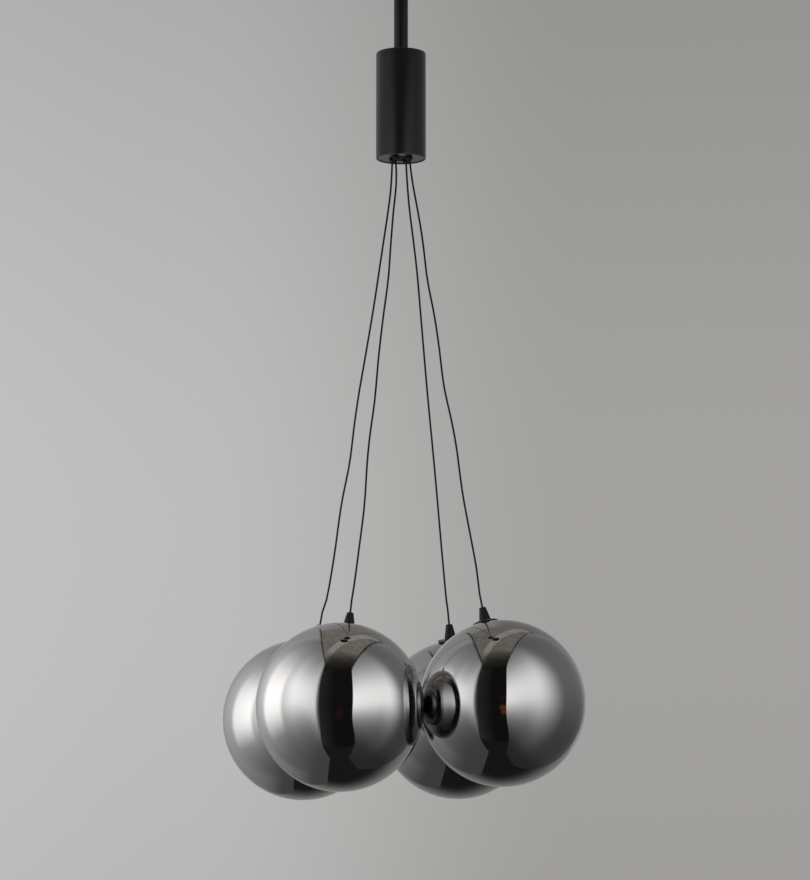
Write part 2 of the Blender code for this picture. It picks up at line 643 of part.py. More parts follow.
def build_stem(kit):
    """The stem head that tilts in the fork, the stem tube, and the lead inside both."""
    spigot = STEM_BORE_RADIUS - TOUCH_GAP
    crown = dome(HEAD_DOME_RADIUS, LEAD_BORE_RADIUS, STEM_RADIUS, 4)
    profile = [(r, PIVOT_Z + h) for r, h in crown] + [
        (STEM_RADIUS, HEAD_BOTTOM_Z),
        (spigot, HEAD_BOTTOM_Z),
        (spigot, HEAD_BOTTOM_Z - HEAD_SPIGOT_LENGTH),
        (LEAD_BORE_RADIUS, HEAD_BOTTOM_Z - HEAD_SPIGOT_LENGTH),
    ]
    head = turned(kit, "stem_head", profile, CAP_SIDES, kit.black_metal, closed=True)
    for side, sign in (("left", -1.0), ("right", 1.0)):
        depth = PIVOT_SCREW_BITE + TOUCH_GAP + CUT_OVERRUN
        middle_x = sign * (STEM_RADIUS - PIVOT_SCREW_BITE - TOUCH_GAP + depth / 2)
        socket = cylinder_cutter(
            kit,
            "head_socket_" + side,
            PIVOT_SCREW_DIAMETER + 2 * TOUCH_GAP,
            depth,
            along_x((middle_x, 0.0, PIVOT_Z)),
        )
        combine(head, socket, "DIFFERENCE")
    profile = [
        (STEM_BORE_RADIUS, STEM_TOP_Z),
        (STEM_RADIUS, STEM_TOP_Z),
        (STEM_RADIUS, STEM_BOTTOM_Z),
        (STEM_BORE_RADIUS, STEM_BOTTOM_Z),
    ]
    turned(kit, "stem", profile, CAP_SIDES, kit.black_metal, closed=True)
    lead_top = FORK_BASE_BOTTOM_Z - 2 * TOUCH_GAP
    points = [(0.0, 0.0, lead_top), (0.0, 0.0, DRIVER_TOP_Z + TOUCH_GAP)]
    tube_along(kit, "supply_lead_lower", points, LEAD_DIAMETER, kit.cable_jacket)


def build_canister(kit):
    """The canister, its nipple and nut, the gland plate with its set screw, and the driver."""
    outer = CAN_DIAMETER / 2
    edge = CAN_EDGE_RADIUS
    hole = CAN_HOLE_RADIUS
    ceiling_z = CAN_TOP_Z - CAN_TOP_THICKNESS
    profile = [(hole, CAN_TOP_Z)]
    profile += arc(outer - edge, CAN_TOP_Z - edge, edge, 90, 0, 3)
    profile += arc(outer - edge, CAN_BOTTOM_Z + edge, edge, 0, -90, 3)
    profile += [
        (CAN_INNER_RADIUS, CAN_BOTTOM_Z),
        (CAN_INNER_RADIUS, ceiling_z),
        (hole, ceiling_z),
    ]
    canister = turned(kit, "canister", profile, CAN_SIDES, kit.black_metal, closed=True)

    nipple_top = STEM_BOTTOM_Z + NIPPLE_IN_STEM
    nipple_bottom = ceiling_z - NIPPLE_IN_CAN
    bore = NIPPLE_RADIUS - NIPPLE_WALL
    profile = [
        (bore, nipple_top),
        (NIPPLE_RADIUS, nipple_top),
        (NIPPLE_RADIUS, nipple_bottom),
        (bore, nipple_bottom),
    ]
    turned(kit, "stem_nipple", profile, FITTING_SIDES, kit.zinc, closed=True)
    nut_z = ceiling_z - TOUCH_GAP - CAN_NUT_HEIGHT / 2
    nut_width = 2 * (hole + CAN_NUT_WALL)
    hex_nut(kit, "canister_nut", nut_width, CAN_NUT_HEIGHT, 2 * hole, nut_z, kit.zinc)

    post = PLATE_POST_RADIUS
    post_top = PLATE_TOP_Z + PLATE_POST_HEIGHT
    profile = [
        (0.0, post_top),
        (post, post_top),
        (post, PLATE_TOP_Z),
        (PLATE_RADIUS, PLATE_TOP_Z),
        (PLATE_RADIUS, PLATE_BOTTOM_Z),
        (0.0, PLATE_BOTTOM_Z),
    ]
    plate = turned(kit, "gland_plate", profile, CAN_SIDES, kit.black_metal)
    screw_z = (PLATE_TOP_Z + PLATE_BOTTOM_Z) / 2
    length = CAN_WALL + TOUCH_GAP + SET_SCREW_BITE
    back = Matrix.Rotation(-math.pi / 2, 4, "X")
    place = Matrix.Translation((0.0, outer, screw_z)) @ back
    radius = SET_SCREW_DIAMETER / 2
    profile = [(0.0, 0.0), (radius, 0.0), (radius, -length), (0.0, -length)]
    turned(kit, "plate_set_screw", profile, SMALL_SIDES, kit.zinc, matrix=place)
    depth = length + TOUCH_GAP + CUT_OVERRUN
    middle_y = outer + CUT_OVERRUN - depth / 2
    place = Matrix.Translation((0.0, middle_y, screw_z)) @ back
    hole = cylinder_cutter(
        kit, "set_screw_hole", SET_SCREW_DIAMETER + 2 * TOUCH_GAP, depth, place
    )
    combine(canister, hole, "DIFFERENCE")
    combine(plate, hole, "DIFFERENCE")

    size = (DRIVER_WIDTH, DRIVER_DEPTH, DRIVER_HEIGHT)
    place = Matrix.Translation((0.0, 0.0, (DRIVER_TOP_Z + DRIVER_BOTTOM_Z) / 2))
    block(kit, "lamp_driver", size, place, kit.driver, DRIVER_EDGE)
    return plate


def build_gland(kit, drop, place, plate):
    """A grommet in the gland plate, whose round nose is centred on the drop's pivot."""
    neck = GLAND_NECK_DIAMETER / 2
    flange = GLAND_FLANGE_DIAMETER / 2
    under = GLAND_NOSE_DROP - TOUCH_GAP
    over = GLAND_NOSE_DROP + PLATE_THICKNESS + TOUCH_GAP
    edge_deg = math.degrees(math.asin(under / GLAND_NOSE_RADIUS))
    profile = [
        (0.0, over + GLAND_FLANGE_HEIGHT),
        (flange, over + GLAND_FLANGE_HEIGHT),
        (flange, over),
        (neck, over),
        (neck, under),
    ]
    nose = arc(0.0, 0.0, GLAND_NOSE_RADIUS, edge_deg, -90, 5)
    profile += nose[:-1] + [(0.0, -GLAND_NOSE_RADIUS)]
    turned(kit, "cable_gland_" + drop, profile, SMALL_SIDES, kit.black_plastic, matrix=place)
    length = PLATE_THICKNESS + CUT_OVERRUN
    middle_h = GLAND_NOSE_DROP + PLATE_THICKNESS / 2
    hole = cylinder_cutter(
        kit,
        "gland_hole_" + drop,
        GLAND_NECK_DIAMETER + 2 * TOUCH_GAP,
        length,
        place @ Matrix.Translation((0.0, 0.0, middle_h)),
    )
    combine(plate, hole, "DIFFERENCE")


def smooth_route(points, count):
    """Evenly spaced points on a smooth (Catmull-Rom) curve through the given points."""
    ends = [2 * points[0] - points[1]] + points + [2 * points[-1] - points[-2]]
    fine = []
    for i in range(1, len(ends) - 2):
        a, b, c, d = ends[i - 1:i + 3]
        for step in range(16):
            t = step / 16
            spread = (2 * a - 5 * b + 4 * c - d) * t * t + (3 * b - 3 * c + d - a) * t ** 3
            fine.append(b + ((c - a) * t + spread) / 2)
    fine.append(points[-1])
    along = [0.0]
    for a, b in zip(fine, fine[1:]):
        along.append(along[-1] + (b - a).length)
    even = []
    i = 0
    for n in range(count):
        want = along[-1] * n / (count - 1)
        while i < len(along) - 2 and along[i + 1] < want:
            i += 1
        share = (want - along[i]) / (along[i + 1] - along[i])
        even.append(fine[i].lerp(fine[i + 1], share))
    return even


def build_cable(kit, drop, pivot, hanger, centre):
    """The cable from the gland's nose to the grip's top, with the bends it has in its route."""
    grip_top = centre @ Vector((0.0, 0.0, GRIP_TOP_H + TOUCH_GAP))
    above_grip = centre @ Vector((0.0, 0.0, GRIP_TOP_H + CABLE_STRAIGHT_END))
    start = GLAND_NOSE_RADIUS + TOUCH_GAP
    end = (grip_top - pivot).length
    down = (grip_top - pivot).normalized()
    right = Vector((1.0, 0.0, 0.0))
    route = [
        pivot + down * (start + (end - start) * share) + right * bend
        for share, bend in CABLE_ROUTES[drop]
    ]
    route += [above_grip, grip_top]
    to_local = hanger.matrix_basis.inverted()
    points = [to_local @ point for point in smooth_route(route, CABLE_POINTS)]
    tube_along(kit, "cable_" + drop, points, CABLE_DIAMETER, kit.cable_jacket, hanger)


def build_fittings(kit, drop, hanger, centre):
    """The grip, cap, support tube and lamp holder, on the globe's axis."""
    top = GRIP_TOP_DIAMETER / 2
    base = GRIP_BASE_DIAMETER / 2
    profile = [
        (0.0, GRIP_TOP_H),
        (top - GRIP_EDGE, GRIP_TOP_H),
        (top, GRIP_TOP_H - GRIP_EDGE),
        (base, GRIP_BASE_H + GRIP_FOOT_HEIGHT),
        (base, GRIP_BASE_H),
        (0.0, GRIP_BASE_H),
    ]
    turned(kit, "cord_grip_" + drop, profile, FITTING_SIDES, kit.black_plastic, hanger, centre)

    tube = TUBE_DIAMETER / 2
    bore = tube + TOUCH_GAP
    seat = CAP_SEAT_DIAMETER / 2
    rim = CAP_DIAMETER / 2
    boss = CAP_BOSS_RADIUS
    boss_bottom = CAP_BOTTOM_RADIUS - CAP_BOSS_LENGTH
    profile = [(bore, CAP_TOP_H)]
    profile += [(seat, CAP_TOP_H)] + dome(CAP_TOP_RADIUS, seat, rim, 2)[1:]
    profile += dome(CAP_BOTTOM_RADIUS, rim, boss, 2)
    profile += [(boss, boss_bottom), (bore, boss_bottom)]
    turned(kit, "cap_" + drop, profile, CAP_SIDES, kit.black_metal, hanger, centre, closed=True)

    wire = tube - TUBE_WALL
    profile = [(wire, CAP_TOP_H), (tube, CAP_TOP_H), (tube, TUBE_BOTTOM_H), (wire, TUBE_BOTTOM_H)]
    turned(
        kit, "support_tube_" + drop, profile, SMALL_SIDES, kit.black_metal, hanger, centre, closed=True
    )

    radius = HOLDER_DIAMETER / 2
    floor = TUBE_BOTTOM_H - TOUCH_GAP
    profile = [
        (0.0, floor),
        (bore, floor),
        (bore, HOLDER_TOP_H),
        (radius - HOLDER_EDGE, HOLDER_TOP_H),
        (radius, HOLDER_TOP_H - HOLDER_EDGE),
        (radius, HOLDER_BOTTOM_H),
        (0.0, HOLDER_BOTTOM_H),
    ]
    holder = turned(
        kit, "lamp_holder_" + drop, profile, FITTING_SIDES, kit.ceramic, hanger, centre
    )
    depth = PIN_LENGTH + 2 * TOUCH_GAP + CUT_OVERRUN
    middle_h = HOLDER_BOTTOM_H + depth / 2 - CUT_OVERRUN
    for side, x in (("a", -PIN_SPACING / 2), ("b", PIN_SPACING / 2)):
        socket = cylinder_cutter(
            kit,
            "pin_socket_" + side + "_" + drop,
            PIN_DIAMETER + 2 * TOUCH_GAP,
            depth,
            centre @ Matrix.Translation((x, 0.0, middle_h)),
            hanger,
            sides=8,
        )
        combine(holder, socket, "DIFFERENCE")


def build_lamp(kit, drop, hanger, centre):
    """The plug-in lamp: a base with two pins and a round-ended capsule."""
    base = LAMP_BASE_DIAMETER / 2
    capsule = LAMP_CAPSULE_DIAMETER / 2
    shoulder = LAMP_BASE_TOP_H - LAMP_BASE_LENGTH
    tip = -LAMP_TIP_BELOW_CENTRE
    profile = [
        (0.0, LAMP_BASE_TOP_H),
        (base, LAMP_BASE_TOP_H),
        (base, shoulder),
        (capsule, shoulder - abs(capsule - base)),
    ]
    profile += arc(0.0, tip + capsule, capsule, 0, -90, 4)[:-1] + [(0.0, tip)]
    lamp = turned(kit, "lamp_" + drop, profile, FITTING_SIDES, kit.lamp, hanger, centre)
    length = PIN_LENGTH + JOIN_DEPTH
    middle_h = LAMP_BASE_TOP_H - JOIN_DEPTH + length / 2
    for side, x in (("a", -PIN_SPACING / 2), ("b", PIN_SPACING / 2)):
        pin = cylinder_cutter(
            kit,
            "lamp_pin_" + side + "_" + drop,
            PIN_DIAMETER,
            length,
            centre @ Matrix.Translation((x, 0.0, middle_h)),
            hanger,
            sides=8,
        )
        combine(lamp, pin, "UNION")


def build_globe(kit, drop, hanger, centre):
    """The blown globe with its round mouth, the collar glued in it and the gasket on it."""
    inner = GLOBE_RADIUS - GLOBE_WALL
    outer_deg = math.degrees(math.acos(GLOBE_HOLE_RADIUS / GLOBE_RADIUS))
    inner_deg = math.degrees(math.acos(GLOBE_HOLE_RADIUS / inner))
    inside = arc(0.0, 0.0, inner, -90, inner_deg, 9)
    outside = arc(0.0, 0.0, GLOBE_RADIUS, outer_deg, -90, 12)
    profile = [(0.0, -inner)] + inside[1:] + outside[:-1] + [(0.0, -GLOBE_RADIUS)]
    turned(kit, "globe_" + drop, profile, GLOBE_SIDES, kit.glass, hanger, centre)

    bottom = GLASS_MOUTH_H - COLLAR_LENGTH
    profile = [
        (COLLAR_BORE_RADIUS, GLASS_MOUTH_H),
        (COLLAR_RADIUS, GLASS_MOUTH_H),
        (COLLAR_RADIUS, bottom),
        (COLLAR_BORE_RADIUS, bottom),
    ]
    turned(
        kit, "globe_collar_" + drop, profile, CAP_SIDES, kit.black_metal, hanger, centre, closed=True
    )

    rim = GASKET_DIAMETER / 2
    profile = dome(GASKET_TOP_RADIUS, GLOBE_HOLE_RADIUS, rim, 1)
    profile += dome(GASKET_BOTTOM_RADIUS, rim, GLOBE_HOLE_RADIUS, 1)
    turned(kit, "gasket_" + drop, profile, CAP_SIDES, kit.rubber, hanger, centre, closed=True)


def build_drop(kit, drop, plate):
    """One drop: gland, cable, grip, cap, tube, holder, lamp and globe.

    An empty at the gland nose's centre carries the pieces that swing, its Z up from the globe's
    centre. The mouth of each globe, and what hangs in it, leans as the globes rest on each other.
    """
    angle = math.radians(RING_CORNERS_DEG[drop] + RING_TURN_DEG)
    outward = Vector((math.cos(angle), math.sin(angle), 0.0))
    pivot = outward * GLAND_CIRCLE_DIAMETER / 2 + Vector((0.0, 0.0, GLAND_CENTRE_Z))
    globe_z = CAN_BOTTOM_Z - DROP_HEIGHT + HEIGHT_TRIM[drop]
    globe_middle = outward * RING_RADIUS + Vector((0.0, 0.0, globe_z))
    line = globe_middle - pivot
    tilt = math.atan2(line.dot(outward), -line.z)
    hanger = bpy.data.objects.new("pivot_" + drop, None)
    hanger.empty_display_size = GLAND_CIRCLE_DIAMETER
    kit.parts.objects.link(hanger)
    turn = Matrix.Rotation(angle, 4, "Z") @ Matrix.Rotation(-tilt, 4, "Y")
    hanger.matrix_basis = Matrix.Translation(pivot) @ turn
    lean, lean_azimuth = (math.radians(value) for value in MOUTH_LEAN_DEG[drop])
    mouth_turn = Matrix.Rotation(lean_azimuth, 4, "Z") @ Matrix.Rotation(lean, 4, "Y")
    centre = Matrix.Translation(globe_middle) @ mouth_turn
    in_hanger = hanger.matrix_basis.inverted() @ centre
    build_gland(kit, drop, Matrix.Translation(pivot), plate)
    build_cable(kit, drop, pivot, hanger, centre)
    build_fittings(kit, drop, hanger, in_hanger)
    build_lamp(kit, drop, hanger, in_hanger)
    build_globe(kit, drop, hanger, in_hanger)


def main():
    clear_scene()
    kit = Kit()
    ear_inner_x = build_bracket(kit)
    build_canopy(kit, ear_inner_x)
    build_hub(kit)
    build_supply(kit)
    build_swivel(kit)
    build_stem(kit)
    plate = build_canister(kit)
    for drop in RING_CORNERS_DEG:
        build_drop(kit, drop, plate)


main()
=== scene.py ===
"""Pendant light: four smoked mirror-glass globes on thin cables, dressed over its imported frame.

Metres, Z up, the ceiling at z = 0, the front towards -Y, as in the frame.
"""

import bmesh
import bpy
import numpy as np
from mathutils import Matrix, Vector


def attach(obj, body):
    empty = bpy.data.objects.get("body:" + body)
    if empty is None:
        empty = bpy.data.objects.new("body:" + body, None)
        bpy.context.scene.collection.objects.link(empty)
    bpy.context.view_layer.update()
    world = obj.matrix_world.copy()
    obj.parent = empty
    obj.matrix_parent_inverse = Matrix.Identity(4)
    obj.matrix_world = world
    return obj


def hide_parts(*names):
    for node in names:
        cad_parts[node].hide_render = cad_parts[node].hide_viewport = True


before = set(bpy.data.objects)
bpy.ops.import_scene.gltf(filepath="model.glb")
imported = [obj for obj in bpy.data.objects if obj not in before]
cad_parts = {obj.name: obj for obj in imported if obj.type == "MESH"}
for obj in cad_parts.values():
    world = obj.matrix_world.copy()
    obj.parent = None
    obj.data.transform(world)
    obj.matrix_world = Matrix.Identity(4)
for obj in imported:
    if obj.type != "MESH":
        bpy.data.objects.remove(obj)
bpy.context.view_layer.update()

# The camera: low, in front, looking slightly up at the canister and the globes. Its lens and sensor
# are in millimetres.
PHOTO_LENS = 122.727
PHOTO_SENSOR_WIDTH = 36.0
PHOTO_PLACE = (0.0038, -2.764, -1.06383)
PHOTO_PITCH_DEG = 97.62
camera = bpy.data.objects.new("photo_camera", bpy.data.cameras.new("photo_camera"))
bpy.context.scene.collection.objects.link(camera)
camera.data.lens = PHOTO_LENS
camera.data.sensor_width = PHOTO_SENSOR_WIDTH
camera.data.clip_start = 0.05
camera.data.clip_end = 200.0
camera.location = PHOTO_PLACE
camera.rotation_euler = (np.radians(PHOTO_PITCH_DEG), 0.0, 0.0)
bpy.context.scene.camera = camera
bpy.context.scene.view_settings.view_transform = "Standard"

# How far a corner's ease reaches, where a piece has no ease of its own
FINE_EASE = 0.0002
PLAIN_EASE = 0.0003
SOFT_EASE = 0.0004

# Sizes that the pieces share with the frame. A name that ends in Z is a height, with the ceiling at 0.
TOUCH_GAP = 0.0003
RUNNING_GAP = 0.0005

# Each screw: its head's radius and height, its shank's radius and length, its key's width across flats
CANOPY_SCREW = (0.0035, 0.0022, 0.0019, 0.0070, 0.0025)
PIVOT_SCREW = (0.0032, 0.0016, 0.0018, 0.0059, 0.0025)
SET_SCREW = (0.0013, 0.0004, 0.0013, 0.0042, 0.0013)

# Canopy and hub
CANOPY_RADIUS = 0.055
CANOPY_DEPTH = 0.025
CANOPY_WALL = 0.0012
CANOPY_BEND_RADIUS = 0.003
CANOPY_SCREW_Z = -0.0105
HUB_RADIUS = 0.010994
HUB_CHAMBER_RADIUS = 0.008194
HUB_FLANGE_LIP = 0.0008
HUB_FLANGE_HEIGHT = 0.002
HUB_TOP_Z = -0.0028
HUB_BOTTOM_Z = -0.026
HUB_FLOOR_Z = -0.0175

# Swivel fork and stem head
SHANK_RADIUS = 0.00475
LEAD_BORE_RADIUS = 0.0027
FORK_TOP_Z = -0.0129
FORK_BASE_RADIUS = 0.011615
FORK_BASE_TOP_Z = -0.0263
FORK_BASE_BOTTOM_Z = -0.0308
FORK_BASE_TOP_EASE = 0.0005
FORK_BASE_BOTTOM_EASE = 0.0008
CHEEK_X = 0.00865
CHEEK_THICKNESS = 0.003
CHEEK_HALF_WIDTH = 0.005
CHEEK_IN_BASE = 0.0010
CHEEK_EASE = 0.0005
PIVOT_Z = -0.04063
HEAD_DOME_RADIUS = 0.00803
HEAD_SPIGOT_LENGTH = 0.0100

# Stem and canister
STEM_RADIUS = 0.00665
STEM_BORE_RADIUS = 0.00525
STEM_TOP_Z = -0.05593
STEM_BOTTOM_Z = -0.32493
CAN_RADIUS = 0.0235
CAN_INNER_RADIUS = 0.0219
CAN_TOP_Z = -0.32523
CAN_BOTTOM_Z = -0.42723
CAN_TOP_THICKNESS = 0.0025
CAN_TOP_EASE = 0.0011
CAN_BOTTOM_EASE = 0.0009
PLATE_BOTTOM_Z = -0.42663
PLATE_THICKNESS = 0.005
SET_SCREW_SINK = 0.0006

# Cable glands, each centred on its drop's pivot
GLAND_CIRCLE_RADIUS = 0.009
GLAND_CENTRE_Z = -0.42743
GLAND_NOSE_RADIUS = 0.0032
GLAND_NOSE_DROP = 0.0008
GLAND_SHOULDER_RADIUS = 0.0030
GLAND_SHOULDER_RISE = 0.0005
GLAND_NECK_RADIUS = 0.0021
GLAND_FLANGE_RADIUS = 0.0031
GLAND_FLANGE_HEIGHT = 0.0012
GLAND_FLANGE_BEVEL = 0.0002

# Globes. A name that ends in H is a height along the globe's own axis, from its centre out of its mouth.
RING_RADIUS = 0.1504 / np.sqrt(2.0)
GLOBE_RADIUS = 0.075
GLOBE_WALL = 0.002
GLOBE_HOLE_RADIUS = 0.0095
GLOBE_RIM_EASE = 0.0006
MOUTH_H = 0.0744
COLLAR_RADIUS = 0.0092
COLLAR_BORE_RADIUS = 0.0078
COLLAR_LENGTH = 0.009
GASKET_RADIUS = 0.0116
GASKET_THICKNESS = 0.0006
GASKET_BORE_EASE = 0.0001

# Cables, caps and cord grips
CABLE_DIAMETER = 0.0018
CABLE_STRAIGHT_END = 0.0125
CABLE_POINTS = 36
CABLE_IN_NOSE = 0.0026
CABLE_IN_GRIP_H = 0.0900
CABLE_CLEARANCE = 0.0002
CAP_TOP_H = 0.0773
CAP_THICKNESS = 0.0011
CAP_RADIUS = 0.0121
CAP_RIM_INSET = 0.0005
CAP_SEAT_RADIUS = 0.0059
CAP_BOSS_RADIUS = 0.0075
CAP_BOSS_LENGTH = 0.0100
GRIP_BASE_H = 0.0776
GRIP_TOP_H = 0.0908
GRIP_BASE_RADIUS = 0.0054
GRIP_TOP_RADIUS = 0.0030
GRIP_TOP_EASE = 0.0008
GRIP_FOOT_HEIGHT = 0.0012
GRIP_FOOT_EASE = 0.0006
GRIP_MOUTH_DEPTH = 0.0016

# Support tubes, lamp holders and lamps
TUBE_RADIUS = 0.0040
TUBE_BORE_RADIUS = 0.0026
TUBE_BOTTOM_H = 0.0333
HOLDER_RADIUS = 0.0070
HOLDER_BOTTOM_H = 0.0173
HOLDER_TOP_H = 0.0393
HOLDER_TOP_EASE = 0.0008
HOLDER_FOOT_EASE = 0.0005
HOLDER_PLAIN_BAND = 0.0030
GROOVES = 3
GROOVE_SPACING = 0.0022
GROOVE_WIDTH = 0.0010
GROOVE_DEPTH = 0.0005
FIRST_GROOVE_H = 0.0236
LAMP_BASE_TOP_H = 0.0170
LAMP_BASE_RADIUS = 0.00525
LAMP_SHOULDER_H = 0.0080
LAMP_SEAM = 0.0004
PIN_SPACING = 0.0040
PIN_RADIUS = 0.00045
PIN_LENGTH = 0.0065
CAPSULE_RADIUS = 0.0060
CAPSULE_TIP_H = -0.0200
CAPSULE_NECK_INSET = 0.0002
CAPSULE_NECK_LENGTH = 0.0010
CHIPS_RADIUS = 0.0030
CHIPS_TOP_H = -0.0025
CHIPS_BOTTOM_H = -0.0100
CHIPS_TOP_EASE = 0.0008
CHIPS_BOTTOM_EASE = 0.0012

# Each drop: its azimuth in degrees, its globe's centre height, its mouth's lean and the azimuth of
# that lean in degrees, and its cable's route from gland to grip as (share of the way down, bend to
# the right in metres)
DROPS = {
    "front_left": (239.5, -0.945529, (19.3, 73.7), [
        (0.00, 0.0), (0.05, 0.0026), (0.12, 0.0026), (0.19, 0.0032), (0.27, 0.0041), (0.35, 0.0030),
        (0.44, 0.0024), (0.54, 0.0028), (0.62, 0.0016), (0.68, 0.0017), (0.77, 0.0030), (0.86, 0.0021),
        (0.94, 0.0010),
    ]),
    "front_right": (329.5, -0.940429, (15.5, 135.7), [
        (0.00, 0.0), (0.05, -0.0006), (0.13, 0.0001), (0.19, -0.0001), (0.27, -0.0015), (0.35, -0.0005),
        (0.42, -0.0008), (0.51, -0.0022), (0.59, -0.0004), (0.65, 0.0001), (0.75, -0.0011), (0.84, -0.0003),
        (0.91, 0.0004),
    ]),
    "back_right": (59.5, -0.949229, (10.4, 239.2), [
        (0.00, 0.0), (0.05, -0.0007), (0.10, -0.0008), (0.17, 0.0002), (0.24, 0.0008),
        (0.35, 0.0004), (0.50, -0.0001), (0.66, 0.0), (0.82, -0.0004), (0.94, -0.0005),
    ]),
    "back_left": (149.5, -0.950829, (11.3, 31.0), [
        (0.00, 0.0), (0.05, 0.0023), (0.10, 0.0031), (0.20, 0.0034), (0.31, 0.0037), (0.42, 0.0031),
        (0.50, 0.0025), (0.57, 0.0029), (0.65, 0.0040), (0.74, 0.0024), (0.85, 0.0032), (0.94, 0.0026),
    ]),
}


# Materials


class Term:
    """One socket in a shader's node tree. Arithmetic on it adds Math nodes."""

    def __init__(self, tree, socket):
        self.tree = tree
        self.socket = socket

    def node(self, kind, settings, sockets, out=0):
        """A new node of that kind: its settings first, then its sockets' values or links."""
        made = self.tree.nodes.new(kind)
        for name, value in settings.items():
            setattr(made, name, value)
        for name, value in sockets.items():
            if isinstance(value, Term):
                self.tree.links.new(value.socket, made.inputs[name])
            else:
                made.inputs[name].default_value = value
        return Term(self.tree, made.outputs[out])

    def shown(self, kind):
        """Leads this shader to the tree's output, a new node of that kind."""
        output = self.tree.nodes.new(kind)
        self.tree.links.new(self.socket, output.inputs["Surface"])

    def maths(self, operation, first, second=0.0):
        return self.node("ShaderNodeMath", {"operation": operation}, {0: first, 1: second})

    def __add__(self, other):
        return self.maths("ADD", self, other)

    def __radd__(self, other):
        return self.maths("ADD", other, self)

    def __sub__(self, other):
        return self.maths("SUBTRACT", self, other)

    def __rsub__(self, other):
        return self.maths("SUBTRACT", other, self)

    def __mul__(self, other):
        return self.maths("MULTIPLY", self, other)

    def __rmul__(self, other):
        return self.maths("MULTIPLY", other, self)

    def __truediv__(self, other):
        return self.maths("DIVIDE", self, other)

    def __rtruediv__(self, other):
        return self.maths("DIVIDE", other, self)

    def root(self):
        return self.maths("POWER", self, 0.5)

    def above(self, level):
        """1 where the value is greater than the level, and 0 elsewhere."""
        return self.maths("GREATER_THAN", self, level)

    def least(self, other):
        """The smaller of the two."""
        return self.maths("MINIMUM", self, other)

    def most(self, other):
        """The larger of the two."""
        return self.maths("MAXIMUM", self, other)

    def step(self, start, end):
        """0 before start and 1 after end, with a smooth rise between them."""
        sockets = {"Value": self, "From Min": start, "From Max": end}
        return self.node("ShaderNodeMapRange", {"interpolation_type": "SMOOTHSTEP"}, sockets)

    def mixed(self, low, high):
        """The colour that goes from low to high as this value goes from 0 to 1."""
        return self.node("ShaderNodeMix", {"data_type": "RGBA"}, {0: self, 6: low, 7: high}, 2)

    def noise(self, scale, detail=2.0, roughness=0.5):
        """Smooth noise from 0 to 1. The scale is about the number of its lumps in a metre."""
        sockets = {"Vector": self, "Scale": scale, "Detail": detail, "Roughness": roughness}
        return self.node("ShaderNodeTexNoise", {}, sockets)

    def axis(self, index):
        """The X, Y or Z value of a vector, by its index."""
        return self.node("ShaderNodeSeparateXYZ", {}, {0: self}, index)

    def scaled(self, x, y, z):
        """The vector with each of its axes multiplied."""
        return self.node("ShaderNodeVectorMath", {"operation": "MULTIPLY"}, {0: self, 1: (x, y, z)})

    def bump(self, distance, strength=1.0):
        """The normal of a surface that stands proud by this height times distance."""
        sockets = {"Height": self, "Distance": distance, "Strength": strength}
        return self.node("ShaderNodeBump", {}, sockets)


def coordinates(owner, kind):
    """The coordinates of that kind, the first node in the emptied tree of a material or a world."""
    owner.use_nodes = True
    tree = owner.node_tree
    tree.nodes.clear()
    return Term(tree, tree.nodes.new("ShaderNodeTexCoord").outputs[kind])


def colour(red, green, blue):
    return (red, green, blue, 1.0)


def grey(level):
    return colour(level, level, level)


WHITE = grey(1.0)


def new_finish(name, describe):
    """A Principled material whose sockets take what describe gives for the object's coordinates."""
    material = bpy.data.materials.new(name)
    where = coordinates(material, "Object")
    where.node("ShaderNodeBsdfPrincipled", {}, describe(where)).shown("ShaderNodeOutputMaterial")
    return material


def satin_black(where):
    """Black powder coat: a fine orange peel with a grain in it, and faint clouds in its gloss."""
    cloud = where.noise(38.0, 3.0)
    peel = where.noise(900.0, 2.0)
    grain = where.noise(3600.0, 1.0)
    return {
        "Base Color": cloud.mixed(grey(0.0030), grey(0.0050)),
        "Roughness": 0.26 + cloud * 0.07 + grain * 0.05,
        "Specular IOR Level": 0.95,
        "Normal": (peel + grain * 0.5).bump(0.00003, 0.35),
    }


def moulded_black(where):
    """Black moulded plastic with a fine spark-eroded grain."""
    cloud = where.noise(70.0, 2.0)
    grain = where.noise(2600.0, 2.0)
    return {
        "Base Color": cloud.mixed(grey(0.0035), grey(0.0060)),
        "Roughness": 0.44 + grain * 0.16,
        "Specular IOR Level": 0.35,
        "Normal": grain.bump(0.00003, 0.4),
    }


def cable_jacket(where):
    """A matt black jacket: slow changes in gloss along it, and a fine grain."""
    cloud = where.noise(45.0, 3.0)
    grain = where.noise(2200.0, 2.0)
    return {
        "Base Color": cloud.mixed(grey(0.0030), grey(0.0055)),
        "Roughness": 0.46 + cloud * 0.14,
        "Specular IOR Level": 0.32,
        "Normal": grain.bump(0.00002, 0.5),
    }


def plate_black(where):
    """Dull black paint, with a satin lacquer over it outside the ring of the glands."""
    cloud = where.noise(60.0, 3.0)
    grain = where.noise(1800.0, 2.0)
    x, y = where.axis(0), where.axis(1)
    from_axis = (x * x + y * y).root()
    ring = GLAND_CIRCLE_RADIUS + GLAND_NOSE_RADIUS
    return {
        "Base Color": cloud.mixed(grey(0.0028), grey(0.0050)),
        "Roughness": 0.55 + cloud * 0.10,
        "Specular IOR Level": 0.15,
        "Coat Weight": from_axis.step(ring - 0.0012, ring),
        "Coat Roughness": 0.28,
        "Coat IOR": 1.6,
        "Normal": grain.bump(0.00003, 0.5),
    }


